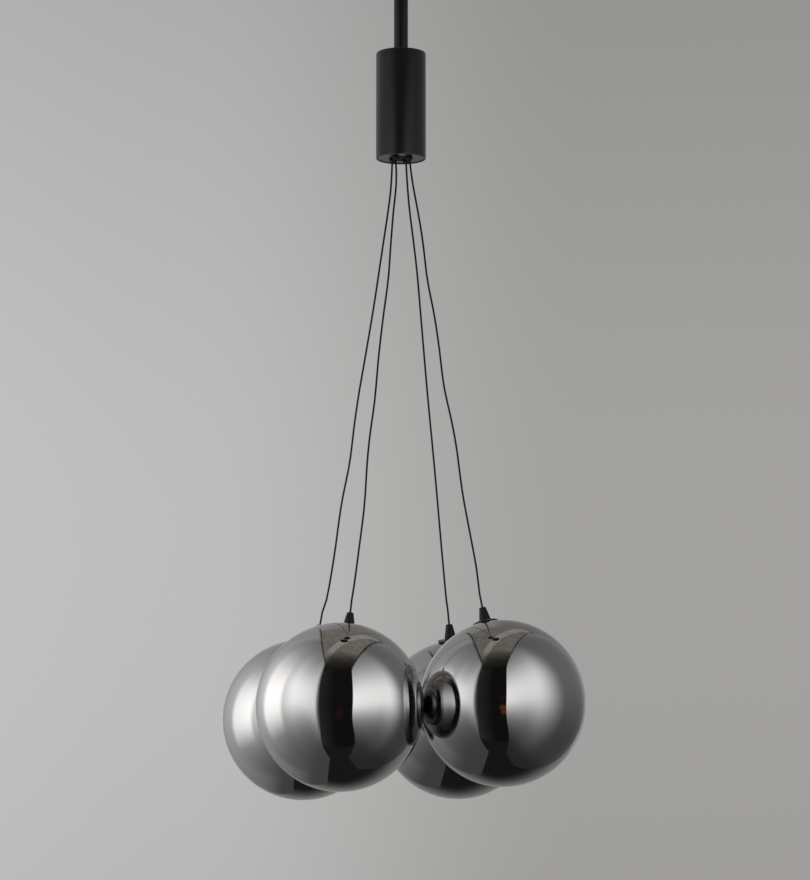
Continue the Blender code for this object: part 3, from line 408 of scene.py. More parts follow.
def zinc_plate(where):
    """Bright zinc plating: dull and bright clouds, and fine rolling lines."""
    cloud = where.noise(120.0, 3.0)
    lines = where.scaled(1.0, 14.0, 1.0).noise(420.0, 2.0)
    return {
        "Base Color": cloud.mixed(colour(0.50, 0.51, 0.52), colour(0.68, 0.69, 0.70)),
        "Roughness": 0.24 + cloud * 0.16 + lines * 0.08,
        "Metallic": 1.0,
        "Normal": lines.bump(0.00002, 0.4),
    }


def rubber(where):
    """Matt black rubber with a fine moulded grain."""
    cloud = where.noise(160.0, 2.0)
    grain = where.noise(3000.0, 1.0)
    return {
        "Base Color": cloud.mixed(grey(0.014), grey(0.024)),
        "Roughness": 0.70 + cloud * 0.16,
        "Normal": grain.bump(0.00002, 0.4),
    }


def holder_ceramic(where):
    """Off-white unglazed ceramic with faint clouds and fine dark specks."""
    cloud = where.noise(140.0, 3.0)
    specks = where.noise(1500.0, 1.0).step(0.70, 0.78)
    body = cloud.mixed(colour(0.66, 0.63, 0.57), colour(0.78, 0.76, 0.71))
    return {
        "Base Color": specks.mixed(body, colour(0.42, 0.38, 0.32)),
        "Roughness": 0.46 + cloud * 0.18,
        "Normal": where.noise(1900.0, 2.0).bump(0.00003, 0.4),
    }


def amber_capsule(where):
    """A lamp's amber capsule, partly clear, with slow clouds in its tint and faint ripples."""
    cloud = where.noise(180.0, 2.0)
    return {
        "Base Color": cloud.mixed(colour(0.30, 0.11, 0.025), colour(0.42, 0.17, 0.045)),
        "Roughness": 0.10 + cloud * 0.08,
        "Alpha": 0.45,
        "Normal": cloud.bump(0.0001, 0.4),
    }


def lamp_glow(where):
    """Orange phosphor gel over a lamp's lit chips, deeper in colour between them.

    The lamp of the front left drop burns dim.
    """
    cloud = where.noise(900.0, 2.0)
    bright = (where.axis(0) + where.axis(1) * 0.4).step(-0.076, -0.070)
    warm = cloud.mixed(colour(1.0, 0.22, 0.040), colour(1.0, 0.36, 0.090))
    return {
        "Base Color": cloud.mixed(colour(0.80, 0.26, 0.035), colour(0.90, 0.38, 0.070)),
        "Roughness": 0.24 + cloud * 0.12,
        "Emission Color": bright.mixed(colour(0.10, 0.03, 0.02), warm),
        "Emission Strength": 3.8,
        "Normal": cloud.bump(0.0001, 0.4),
    }


def driver_case(where):
    """A pale moulded case with a fine grain."""
    cloud = where.noise(60.0, 2.0)
    grain = where.noise(1600.0, 2.0)
    return {
        "Base Color": cloud.mixed(colour(0.74, 0.74, 0.71), colour(0.83, 0.83, 0.80)),
        "Roughness": 0.42 + grain * 0.16,
        "Normal": grain.bump(0.00003, 0.4),
    }


def smoked_mirror(where):
    """Blown glass with a smoked mirror coat: slow clouds in the coat and faint waves in the wall.

    The two globes on the right are a little darker. This is a painted shade laid over the coat's own clouds.
    """
    # The coat's own slow clouds, plus a painted shade: a step in x makes the two right globes darker.
    coat_clouds_and_shade = where.noise(13.0, 2.0) * 0.6 + where.axis(0).step(-0.01, 0.01) * 0.9
    haze = where.noise(80.0, 3.0)
    waves = where.scaled(1.0, 1.0, 0.5).noise(22.0, 1.0)
    return {
        "Base Color": coat_clouds_and_shade.mixed(colour(0.69, 0.682, 0.675), colour(0.605, 0.597, 0.592)),
        "Metallic": 1.0,
        "Roughness": 0.012 + haze * 0.022,
        "Alpha": 0.86,
        "Normal": waves.bump(0.00004, 0.25),
    }


FINISHES = {
    "satin_black": new_finish("satin_black_powder_coat", satin_black),
    "black_plastic": new_finish("moulded_black_plastic", moulded_black),
    "cable_jacket": new_finish("matt_cable_jacket", cable_jacket),
    "zinc": new_finish("zinc_plated_steel", zinc_plate),
    "gasket": new_finish("black_rubber", rubber),
    "holder_ceramic": new_finish("unglazed_ceramic", holder_ceramic),
    "lamp_phosphor": new_finish("amber_lamp_capsule", amber_capsule),
    "driver_case": new_finish("pale_driver_case", driver_case),
    "smoked_mirror_glass": new_finish("smoked_mirror_coat", smoked_mirror),
}
GLOW = new_finish("glowing_phosphor", lamp_glow)
PLATE_PAINT = new_finish("gland_plate_paint", plate_black)


# Surfaces

MERGE_DISTANCE = 0.000001
SAME_PLACE = 1e-9
NO_LENGTH = 1e-12
CREASE_DEG = 32.0


def add_piece(name, points, faces, slot, body, nodes=()):
    """A mesh piece that rides on a body and stands for the frame's nodes named.

    Points that fall together, at a pole or a seam, become one point.
    """
    mesh = bpy.data.meshes.new(name)
    mesh.from_pydata(points.reshape(-1, 3).tolist(), [], faces.reshape(-1, 4).tolist())
    shape = bmesh.new()
    shape.from_mesh(mesh)
    bmesh.ops.remove_doubles(shape, verts=shape.verts, dist=MERGE_DISTANCE)
    shape.to_mesh(mesh)
    shape.free()
    mesh.polygons.foreach_set("use_smooth", np.ones(len(mesh.polygons), bool))
    mesh.set_sharp_from_angle(angle=np.radians(CREASE_DEG))
    mesh.materials.append(FINISHES[slot])
    piece = bpy.data.objects.new(name, mesh)
    bpy.context.scene.collection.objects.link(piece)
    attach(piece, body)
    if nodes:
        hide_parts(*nodes)
    return piece


def grid_faces(rows, columns, loop_rows=False):
    """Quads of a grid that closes around its columns, and around its rows where loop_rows is set."""
    row = np.arange(rows if loop_rows else rows - 1)[:, None]
    column = np.arange(columns)[None, :]
    below = (row + 1) % rows
    beside = (column + 1) % columns
    corners = (row, column), (below, column), (below, beside), (row, beside)
    return np.stack([r * columns + c for r, c in corners], axis=-1)


def direction(side):
    """Each side at the length of one. A side of no length stays as it is."""
    return side / np.maximum(np.linalg.norm(side, axis=1, keepdims=True), NO_LENGTH)


def eased(corners, steps=4):
    """A profile whose corners are eased.

    Each corner is (radius, height, ease). It gives way to a parabola that leaves one side and
    meets the other at the distance ease from the corner, as a quadratic Bezier curve on the corner.
    Points that fall together become one.
    """
    corners = np.array(corners, float)
    point, ease = corners[:, :2], corners[:, 2:]
    start = point + direction(np.vstack([point[:1], point[:-1]]) - point) * ease
    end = point + direction(np.vstack([point[1:], point[-1:]]) - point) * ease
    t = np.linspace(0.0, 1.0, steps + 1)[None, :, None]
    curve = (1 - t) ** 2 * start[:, None] + 2 * t * (1 - t) * point[:, None] + t ** 2 * end[:, None]
    curve = curve.reshape(-1, 2)
    fresh = np.r_[True, np.linalg.norm(np.diff(curve, axis=0), axis=1) > SAME_PLACE]
    return curve[fresh]


def arc(centre_r, centre_h, radius, start_deg, end_deg, steps):
    """Profile points (radius, height) on a circle: centre plus radius times (cos, sin) of the angle."""
    angle = np.radians(np.linspace(start_deg, end_deg, steps + 1))
    return np.stack([centre_r + radius * np.cos(angle), centre_h + radius * np.sin(angle)], axis=1)


def sphere_height(radius, r):
    """The height of a sphere's surface over its centre at the distance r from its axis."""
    return np.sqrt(radius ** 2 - r ** 2)


def placed(points, place):
    """Points turned and moved by a matrix."""
    matrix = np.array(place, float)
    return points @ matrix[:3, :3].T + matrix[:3, 3]


def full_turn(sides):
    """The angles of that many sides around a turned piece, as one row."""
    return np.linspace(0.0, 2 * np.pi, sides, endpoint=False)[None, :]


def turned(name, profile, slot, body, nodes=(), place=Matrix.Identity(4), sides=96, ring=False):
    """A turned piece: x = r cos a, y = r sin a, z = h, for the profile's (r, h) and a full turn of a.

    The profile runs down the outer side. A ring's profile closes on itself around a bore.
    """
    turn = full_turn(sides)
    r, h = profile[:, :1], profile[:, 1:]
    points = np.stack([r * np.cos(turn), r * np.sin(turn), h + 0 * turn], axis=-1)
    faces = grid_faces(len(profile), sides, ring)
    return add_piece(name, placed(points, place), faces, slot, body, nodes)


def socket_screw(name, sizes, place, slot, body, nodes, sides=96):
    """A screw with a six-sided key hole in its head.

    Around the screw each ring's radius is its own number, except the key hole's rings, where it is
    half the key's width over the cosine of the angle from the middle of the nearest flat. The hole
    widens a little from its floor to its rim, which stands a little outside the hole's corners.
    """
    head_radius, head_height, shank_radius, shank_length, key = sizes
    turn = full_turn(sides)
    flat = key / 2 / np.cos((turn + np.pi / 6) % (np.pi / 3) - np.pi / 6)
    hole_rim = key * 0.62
    depth = head_height * 0.62
    hole_floor = head_height - depth
    hole_lip = head_height - depth * 0.12
    outside = eased([
        (hole_rim, head_height, 0.0),
        (head_radius, head_height, head_height * 0.3),
        (head_radius, 0.0, head_height * 0.08),
        (shank_radius, 0.0, 0.0),
        (shank_radius, -shank_length, shank_radius * 0.15),
        (0.0, -shank_length, 0.0),
    ])
    rings = np.vstack([0 * turn, flat * 0.96, flat, flat * 1.03, outside[:, :1] + 0 * turn])
    heights = np.r_[hole_floor, hole_floor, hole_lip, head_height, outside[:, 1]][:, None]
    points = np.stack([rings * np.cos(turn), rings * np.sin(turn), heights + 0 * turn], axis=-1)
    add_piece(name, placed(points, place), grid_faces(len(rings), sides), slot, body, nodes)


def plate(name, outline, thickness, ease, place, slot, body, nodes):
    """A flat plate with eased edges.

    Its rings are the outline pulled in by the ease at both faces and the full outline between
    them, and each face closes at the outline's middle.
    """
    middle = outline.mean(axis=0)
    reach = np.linalg.norm(outline - middle, axis=1, keepdims=True)
    pulled = middle + (outline - middle) * (1 - ease / reach)
    half = thickness / 2
    rows = [
        (middle + 0 * outline, half), (pulled, half), (outline, half - ease),
        (outline, ease - half), (pulled, -half), (middle + 0 * outline, -half),
    ]
    points = np.stack([np.c_[flat, np.full(len(flat), z)] for flat, z in rows])
    add_piece(name, placed(points, place), grid_faces(len(rows), len(outline)), slot, body, nodes)


def smooth_route(points, count, span_steps=16):
    """Evenly spaced points on a Catmull-Rom curve through the given points.

    Between b and c, with neighbours a and d, the curve is half of 2b + (c - a)t + (2a - 5b + 4c - d)t^2
    + (3b - 3c + d - a)t^3.
    """
    ends = np.vstack([2 * points[0] - points[1], points, 2 * points[-1] - points[-2]])
    a, b, c, d = (ends[i:len(ends) - 3 + i, None] for i in range(4))
    t = np.linspace(0.0, 1.0, span_steps, endpoint=False)[None, :, None]
    squared = (2 * a - 5 * b + 4 * c - d) * t ** 2
    cubed = (3 * b - 3 * c + d - a) * t ** 3
    curve = (2 * b + (c - a) * t + squared + cubed) / 2
    curve = np.vstack([curve.reshape(-1, 3), points[-1:]])
    along = np.r_[0.0, np.cumsum(np.linalg.norm(np.diff(curve, axis=0), axis=1))]
    want = np.linspace(0.0, along[-1], count)
    return np.stack([np.interp(want, along, curve[:, k]) for k in range(3)], axis=1)


# Cables and the frame of each drop


def drop_frames(drop):
    """The drop's pivot in the gland, and the frame of its globe's centre with Z out of the mouth."""
    azimuth, globe_z, lean, _ = DROPS[drop]
    angle = np.radians(azimuth)
    tilt, tilt_azimuth = np.radians(lean)
    outward = Vector((np.cos(angle), np.sin(angle), 0.0))
    pivot = outward * GLAND_CIRCLE_RADIUS + Vector((0.0, 0.0, GLAND_CENTRE_Z))
    middle = outward * RING_RADIUS + Vector((0.0, 0.0, globe_z))
    turn = Matrix.Rotation(tilt_azimuth, 4, "Z") @ Matrix.Rotation(tilt, 4, "Y")
    return pivot, Matrix.Translation(middle) @ turn


def axis_point(centre, height):
    """The point at that height on the axis of a globe, from the frame of its centre."""
    return np.array(centre @ Vector((0.0, 0.0, height)))


def cable_points(drop):
    """The cable's points: from inside the gland's nose, along its bends, down into the grip."""
    pivot, centre = drop_frames(drop)
    shares = np.array(DROPS[drop][3])
    grip_top = axis_point(centre, GRIP_TOP_H + TOUCH_GAP)
    grip_lead = axis_point(centre, GRIP_TOP_H + CABLE_STRAIGHT_END)
    start = GLAND_NOSE_RADIUS + TOUCH_GAP
    end = np.linalg.norm(grip_top - pivot)
    down = (grip_top - pivot) / end
    route = np.array(pivot) + down * (start + (end - start) * shares[:, :1])
    route[:, 0] += shares[:, 1]
    hanging = smooth_route(np.vstack([route, grip_lead, grip_top]), CABLE_POINTS)
    in_nose = np.array(pivot) + down * CABLE_IN_NOSE
    return np.vstack([in_nose, hanging, axis_point(centre, CABLE_IN_GRIP_H)])


def build_cable(drop):
    """The cable, a round curve through its points."""
    points = cable_points(drop)
    curve = bpy.data.curves.new("cable_run_" + drop, "CURVE")
    curve.dimensions = "3D"
    curve.bevel_depth = CABLE_DIAMETER / 2
    curve.bevel_resolution = 5
    curve.use_fill_caps = True
    spline = curve.splines.new("POLY")
    spline.points.add(len(points) - 1)
    spline.points.foreach_set("co", np.c_[points, np.ones(len(points))].ravel())
    spline.use_smooth = True
    curve.materials.append(FINISHES["cable_jacket"])
    cable = bpy.data.objects.new("cable_run_" + drop, curve)
    bpy.context.scene.collection.objects.link(cable)
    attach(cable, "drop_" + drop)
    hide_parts("cable_" + drop)


for drop in DROPS:
    build_cable(drop)


# Globe, cap and lamp of each drop


def turned_on(drop, place, name, profile, slot, body, node=None, **form):
    """A turned piece of a drop. The drop's name ends the names of the piece, its body and its node."""
    nodes = [node + "_" + drop] if node else []
    return turned(name + "_" + drop, profile, slot, body + "_" + drop, nodes, place, **form)


def build_globe(drop, place):
    """The globe: a blown shell whose outer and inner spheres meet in an eased rim at its mouth."""
    inner = GLOBE_RADIUS - GLOBE_WALL
    ease = GLOBE_RIM_EASE
    wide = GLOBE_HOLE_RADIUS + ease
    mouth_out = sphere_height(GLOBE_RADIUS, wide)
    mouth_in = sphere_height(inner, wide)
    outer_deg = np.degrees(np.arctan2(mouth_out, wide))
    inner_deg = np.degrees(np.arctan2(mouth_in, wide))
    inside = arc(0.0, 0.0, inner, -90.0, inner_deg, 64)
    outside = arc(0.0, 0.0, GLOBE_RADIUS, outer_deg, -90.0, 96)
    rim = eased([
        (wide, mouth_in, 0.0),
        (GLOBE_HOLE_RADIUS, mouth_in + ease * 0.1, ease),
        (GLOBE_HOLE_RADIUS, mouth_out - ease * 0.1, ease),
        (wide, mouth_out, 0.0),
    ])
    inside[0, 0] = 0.0
    outside[-1, 0] = 0.0
    profile = np.vstack([inside[:-1], rim, outside[1:]])
    turned_on(drop, place, "mirror_globe", profile, "smoked_mirror_glass", "glass", "globe", sides=160)


def build_collar(drop, place):
    """The collar, a plain ring inside the glass's mouth."""
    bottom = MOUTH_H - COLLAR_LENGTH
    collar = eased([
        (COLLAR_BORE_RADIUS, MOUTH_H, PLAIN_EASE), (COLLAR_RADIUS, MOUTH_H, PLAIN_EASE),
        (COLLAR_RADIUS, bottom, PLAIN_EASE), (COLLAR_BORE_RADIUS, bottom, PLAIN_EASE),
    ])
    turned_on(drop, place, "collar_ring", collar, "satin_black", "glass", "globe_collar", ring=True)


def build_gasket(drop, place):
    """The rubber ring on the glass around its mouth."""
    low = GLOBE_RADIUS + TOUCH_GAP
    high = low + GASKET_THICKNESS
    bore, rim = GLOBE_HOLE_RADIUS, GASKET_RADIUS
    gasket = eased([
        (bore, sphere_height(high, bore), GASKET_BORE_EASE), (rim, sphere_height(high, rim), FINE_EASE),
        (rim, sphere_height(low, rim), FINE_EASE), (bore, sphere_height(low, bore), GASKET_BORE_EASE),
    ])
    turned_on(drop, place, "gasket_ring", gasket, "gasket", "glass", "gasket", ring=True)


def build_cap(drop, place):
    """The cap: a dished disc with a flat seat for the grip and a boss down into the collar."""
    top = CAP_TOP_H
    under = top - CAP_THICKNESS
    boss_end = under - CAP_BOSS_LENGTH
    bore = TUBE_RADIUS + TOUCH_GAP
    crown_r = np.linspace(CAP_SEAT_RADIUS + SOFT_EASE, CAP_RADIUS - CAP_RIM_INSET, 6)
    under_r = np.linspace(CAP_RADIUS - SOFT_EASE, CAP_BOSS_RADIUS, 6)
    crown = np.c_[crown_r, sphere_height(top, crown_r)]
    below = np.c_[under_r, sphere_height(under, under_r)]
    edge = eased([
        (*crown[-1], 0.0), (CAP_RADIUS, sphere_height(top, CAP_RADIUS), SOFT_EASE),
        (CAP_RADIUS, sphere_height(under, CAP_RADIUS), PLAIN_EASE), (*below[0], 0.0),
    ])
    cap = np.vstack([
        [(bore, top), (CAP_SEAT_RADIUS, top)], crown[:-1], edge, below[1:],
        [(CAP_BOSS_RADIUS, boss_end + SOFT_EASE), (CAP_BOSS_RADIUS - SOFT_EASE, boss_end), (bore, boss_end)],
    ])
    turned_on(drop, place, "globe_cap", cap, "satin_black", "drop", "cap", ring=True)


def build_grip(drop, place):
    """The cord grip: a cone with a straight foot and an eased top around the cable's mouth."""
    mouth = CABLE_DIAMETER / 2 + CABLE_CLEARANCE
    mouth_floor = GRIP_TOP_H - GRIP_MOUTH_DEPTH
    grip = eased([
        (0.0, mouth_floor, 0.0),
        (mouth, mouth_floor, 0.0),
        (mouth, GRIP_TOP_H, PLAIN_EASE),
        (GRIP_TOP_RADIUS, GRIP_TOP_H, GRIP_TOP_EASE),
        (GRIP_BASE_RADIUS, GRIP_BASE_H + GRIP_FOOT_HEIGHT, GRIP_FOOT_EASE),
        (GRIP_BASE_RADIUS, GRIP_BASE_H, FINE_EASE),
        (0.0, GRIP_BASE_H, 0.0),
    ])
    turned_on(drop, place, "grip_cone", grip, "black_plastic", "drop", "cord_grip")


def build_tube(drop, place):
    """The support tube, from the cap's top down into the lamp holder."""
    tube = eased([
        (TUBE_BORE_RADIUS, CAP_TOP_H, FINE_EASE), (TUBE_RADIUS, CAP_TOP_H, FINE_EASE),
        (TUBE_RADIUS, TUBE_BOTTOM_H, FINE_EASE), (TUBE_BORE_RADIUS, TUBE_BOTTOM_H, FINE_EASE),
    ])
    turned_on(drop, place, "tube", tube, "satin_black", "drop", "support_tube", sides=64, ring=True)


def build_holder(drop, place):
    """The ceramic lamp holder: a socket for the tube in its top, and grooves around its middle."""
    low, high, radius = HOLDER_BOTTOM_H, HOLDER_TOP_H, HOLDER_RADIUS
    socket = TUBE_RADIUS + TOUCH_GAP
    socket_floor = TUBE_BOTTOM_H - TOUCH_GAP
    groove_h = np.arange(GROOVES)[:, None] * GROOVE_SPACING + FIRST_GROOVE_H
    groove_h = groove_h + np.array([GROOVE_WIDTH, GROOVE_WIDTH - FINE_EASE, FINE_EASE, 0.0])
    groove_r = [radius, radius - GROOVE_DEPTH, radius - GROOVE_DEPTH, radius]
    dips = np.stack([np.broadcast_to(groove_r, groove_h.shape), groove_h], axis=-1)
    dips = dips[::-1].reshape(-1, 2)
    top = eased([
        (0.0, socket_floor, 0.0), (socket, socket_floor, 0.0), (socket, high, PLAIN_EASE),
        (radius, high, HOLDER_TOP_EASE), (radius, high - HOLDER_PLAIN_BAND, 0.0),
    ])
    foot = eased([
        (radius, low + HOLDER_PLAIN_BAND, 0.0), (radius, low, HOLDER_FOOT_EASE), (0.0, low, 0.0),
    ])
    holder = np.vstack([top[:-1], dips, foot])
    turned_on(drop, place, "holder", holder, "holder_ceramic", "drop", "lamp_holder", sides=64)


def build_lamp(drop, place):
    """The plug-in lamp: its ceramic base, two pins, the amber capsule and the glowing chips in it."""
    top, seam = LAMP_BASE_TOP_H, LAMP_SHOULDER_H + LAMP_SEAM
    base = eased([
        (0.0, top, 0.0), (LAMP_BASE_RADIUS, top, SOFT_EASE),
        (LAMP_BASE_RADIUS, seam, PLAIN_EASE), (0.0, seam, 0.0),
    ])
    turned_on(drop, place, "lamp_base", base, "holder_ceramic", "plug_in", "lamp", sides=64)
    pin = eased([
        (0.0, top + PIN_LENGTH, 0.0), (PIN_RADIUS, top + PIN_LENGTH, FINE_EASE),
        (PIN_RADIUS, top, 0.0), (0.0, top, 0.0),
    ])
    for side, sign in (("a", -1.0), ("b", 1.0)):
        pin_place = place @ Matrix.Translation((sign * PIN_SPACING / 2, 0.0, 0.0))
        turned_on(drop, pin_place, "lamp_pin_" + side, pin, "zinc", "plug_in", sides=24)
    tip = arc(0.0, CAPSULE_TIP_H + CAPSULE_RADIUS, CAPSULE_RADIUS, 0.0, -90.0, 16)
    tip[-1, 0] = 0.0
    neck = [
        (0.0, LAMP_SHOULDER_H),
        (LAMP_BASE_RADIUS - CAPSULE_NECK_INSET, LAMP_SHOULDER_H),
        (CAPSULE_RADIUS, LAMP_SHOULDER_H - CAPSULE_NECK_LENGTH),
    ]
    capsule = np.vstack([neck, tip])
    turned_on(drop, place, "lamp_capsule", capsule, "lamp_phosphor", "plug_in", "lamp", sides=64)
    chips = eased([
        (0.0, CHIPS_TOP_H, 0.0), (CHIPS_RADIUS, CHIPS_TOP_H, CHIPS_TOP_EASE),
        (CHIPS_RADIUS, CHIPS_BOTTOM_H, CHIPS_BOTTOM_EASE), (0.0, CHIPS_BOTTOM_H, 0.0),
    ])
    glow = turned_on(drop, place, "lamp_chips", chips, "lamp_phosphor", "plug_in", sides=48)
    glow.data.materials[0] = GLOW


def build_gland(drop, pivot):
    """The grommet through the gland plate, with its round nose about the drop's pivot."""
    nose = arc(0.0, 0.0, GLAND_NOSE_RADIUS, 8.0, -90.0, 20)
    nose[-1, 0] = 0.0
    flange = GLAND_NOSE_DROP + PLATE_THICKNESS + TOUCH_GAP
    top = flange + GLAND_FLANGE_HEIGHT
    neck = [
        (0.0, top),
        (GLAND_FLANGE_RADIUS - GLAND_FLANGE_BEVEL, top),
        (GLAND_FLANGE_RADIUS, top - GLAND_FLANGE_BEVEL),
        (GLAND_FLANGE_RADIUS, flange),
        (GLAND_NECK_RADIUS, flange),
        (GLAND_NECK_RADIUS, GLAND_SHOULDER_RISE),
        (GLAND_SHOULDER_RADIUS, GLAND_SHOULDER_RISE),
    ]
    turned(
        "gland_nose_" + drop, np.vstack([neck, nose]), "black_plastic", "stem_and_canister",
        ["cable_gland_" + drop], Matrix.Translation(pivot), sides=48,
    )


for drop in DROPS:
    pivot, centre = drop_frames(drop)
    build_globe(drop, centre)
    build_collar(drop, centre)
    build_gasket(drop, centre)
    build_cap(drop, centre)
    build_grip(drop, centre)
    build_tube(drop, centre)
    build_holder(drop, centre)
    build_lamp(drop, centre)
    build_gland(drop, pivot)


# Canister, stem, swivel and canopy


def across(x, z, sign):
    """A frame at x, z whose own Z points along +X, or along -X."""
    return Matrix.Translation((x, 0.0, z)) @ Matrix.Rotation(sign * np.pi / 2, 4, "Y")


def build_canister():
    """The canister, open below, with softly eased edges and the stem's hole in its top."""
    under_top = CAN_TOP_Z - CAN_TOP_THICKNESS
    shell = eased([
        (STEM_BORE_RADIUS, CAN_TOP_Z, 0.0),
        (CAN_RADIUS, CAN_TOP_Z, CAN_TOP_EASE),
        (CAN_RADIUS, CAN_BOTTOM_Z, CAN_BOTTOM_EASE),
        (CAN_INNER_RADIUS, CAN_BOTTOM_Z, FINE_EASE),
        (CAN_INNER_RADIUS, under_top, 0.0),
        (STEM_BORE_RADIUS, under_top, 0.0),
    ], steps=6)
    turned("canister_shell", shell, "satin_black", "stem_and_canister", ["canister"], sides=144, ring=True)


def build_stem():
    """The stem, a plain tube."""
    tube = eased([
        (STEM_BORE_RADIUS, STEM_TOP_Z, 0.0), (STEM_RADIUS, STEM_TOP_Z, PLAIN_EASE),
        (STEM_RADIUS, STEM_BOTTOM_Z, PLAIN_EASE), (STEM_BORE_RADIUS, STEM_BOTTOM_Z, 0.0),
    ])
    turned("stem_tube", tube, "satin_black", "stem_and_canister", ["stem"], ring=True)


def build_set_screw():
    """The set screw at the canister's back, which holds the gland plate."""
    seat = Matrix.Translation((0.0, CAN_RADIUS - SET_SCREW_SINK, PLATE_BOTTOM_Z + PLATE_THICKNESS / 2))
    place = seat @ Matrix.Rotation(-np.pi / 2, 4, "X")
    socket_screw("set_screw", SET_SCREW, place, "zinc", "stem_and_canister", ["plate_set_screw"])


def build_hub():
    """The hub, a bush with a flange at its top and a floor that carries the fork's nut."""
    flange = HUB_RADIUS + HUB_FLANGE_LIP
    flange_z = HUB_TOP_Z - HUB_FLANGE_HEIGHT
    bore = SHANK_RADIUS + RUNNING_GAP
    hub = eased([
        (HUB_CHAMBER_RADIUS, HUB_TOP_Z, 0.0), (flange, HUB_TOP_Z, PLAIN_EASE),
        (flange, flange_z, PLAIN_EASE), (HUB_RADIUS, flange_z, 0.0),
        (HUB_RADIUS, HUB_BOTTOM_Z, SOFT_EASE), (bore, HUB_BOTTOM_Z, FINE_EASE),
        (bore, HUB_FLOOR_Z, 0.0), (HUB_CHAMBER_RADIUS, HUB_FLOOR_Z, 0.0),
    ])
    turned("hub_bush", hub, "satin_black", "ceiling_mount", ["canopy_hub"], ring=True)


def build_fork():
    """The swivel fork: its shank and base, two cheeks with round ends, and their pivot screws."""
    base = eased([
        (LEAD_BORE_RADIUS, FORK_TOP_Z, 0.0), (SHANK_RADIUS, FORK_TOP_Z, PLAIN_EASE),
        (SHANK_RADIUS, FORK_BASE_TOP_Z, 0.0), (FORK_BASE_RADIUS, FORK_BASE_TOP_Z, FORK_BASE_TOP_EASE),
        (FORK_BASE_RADIUS, FORK_BASE_BOTTOM_Z, FORK_BASE_BOTTOM_EASE),
        (LEAD_BORE_RADIUS, FORK_BASE_BOTTOM_Z, 0.0),
    ])
    turned("fork_base", base, "satin_black", "swivel", ["swivel_fork"], ring=True)
    half = CHEEK_HALF_WIDTH
    side_z = np.linspace(FORK_BASE_BOTTOM_Z + CHEEK_IN_BASE, PIVOT_Z, 8, endpoint=False)
    round_end = arc(0.0, PIVOT_Z, half, 0.0, -180.0, 40)
    outline = np.vstack([np.c_[0 * side_z + half, side_z], round_end, np.c_[0 * side_z - half, side_z[::-1]]])
    for side, sign in (("left", -1.0), ("right", 1.0)):
        upright = Matrix(((0, 0, sign, sign * CHEEK_X), (-sign, 0, 0, 0), (0, 1, 0, 0), (0, 0, 0, 1)))
        plate(
            "fork_cheek_" + side, outline, CHEEK_THICKNESS, CHEEK_EASE, upright,
            "satin_black", "swivel", ["swivel_fork"],
        )
        seat = across(sign * (CHEEK_X + CHEEK_THICKNESS / 2 + TOUCH_GAP), PIVOT_Z, sign)
        node = "pivot_screw_" + side
        socket_screw("pivot_bolt_" + side, PIVOT_SCREW, seat, "satin_black", "swivel", [node])


def build_head():
    """The stem's head: a dome about the tilt axis, with a spigot down into the stem."""
    shoulder = np.degrees(np.arccos(STEM_RADIUS / HEAD_DOME_RADIUS))
    crown = np.degrees(np.arccos(LEAD_BORE_RADIUS / HEAD_DOME_RADIUS))
    bottom = STEM_TOP_Z + TOUCH_GAP
    spigot = STEM_BORE_RADIUS - TOUCH_GAP
    spigot_z = bottom - HEAD_SPIGOT_LENGTH
    head = np.vstack([
        arc(0.0, PIVOT_Z, HEAD_DOME_RADIUS, crown, shoulder, 20),
        [(STEM_RADIUS, bottom + FINE_EASE), (STEM_RADIUS - FINE_EASE, bottom)],
        [(spigot, bottom), (spigot, spigot_z), (LEAD_BORE_RADIUS, spigot_z)],
    ])
    turned("stem_ball_head", head, "satin_black", "stem_and_canister", ["stem_head"], ring=True)


def build_canopy():
    """The canopy cup, spun from sheet with a soft bend at its lower edge, and its two side screws."""
    outer, inner = CANOPY_RADIUS, CANOPY_RADIUS - CANOPY_WALL
    bend = CANOPY_BEND_RADIUS
    low = -CANOPY_DEPTH
    hole = HUB_RADIUS + TOUCH_GAP
    outside = arc(outer - bend, low + bend, bend, 0.0, -90.0, 12)
    inside = arc(outer - bend, low + bend, bend - CANOPY_WALL, -90.0, 0.0, 10)
    rim = eased([(inner, 0.0, PLAIN_EASE), (outer, 0.0, SOFT_EASE)])
    lip = eased([(hole, low, SOFT_EASE), (hole, low + CANOPY_WALL, FINE_EASE)])
    cup = np.vstack([rim, outside, lip, inside])
    turned("canopy_cup", cup, "satin_black", "ceiling_mount", ["canopy_cover"], sides=192, ring=True)
    for side, sign in (("left", -1.0), ("right", 1.0)):
        seat = across(sign * (CANOPY_RADIUS + TOUCH_GAP), CANOPY_SCREW_Z, sign)
        node = "canopy_screw_" + side
        socket_screw("canopy_bolt_" + side, CANOPY_SCREW, seat, "satin_black", "ceiling_mount", [node])


build_canister()
build_stem()
build_set_screw()
build_hub()
build_fork()
build_head()
build_canopy()

# Frame nodes that already have their right shape keep it and take a finish
KEPT_NODES = {
    "zinc": ["ceiling_bracket", "swivel_nut", "stem_nipple", "canister_nut"],
    "holder_ceramic": ["supply_terminal"],
    "cable_jacket": ["supply_lead_upper", "supply_lead_lower"],
    "driver_case": ["lamp_driver"],
}
for slot, names in KEPT_NODES.items():
    for name in names:
        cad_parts[name].data.materials[0] = FINISHES[slot]
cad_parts["gland_plate"].data.materials[0] = PLATE_PAINT


# Stage: two tall lit scrims beside the light, a softbox behind the left one, and a dark wall in front


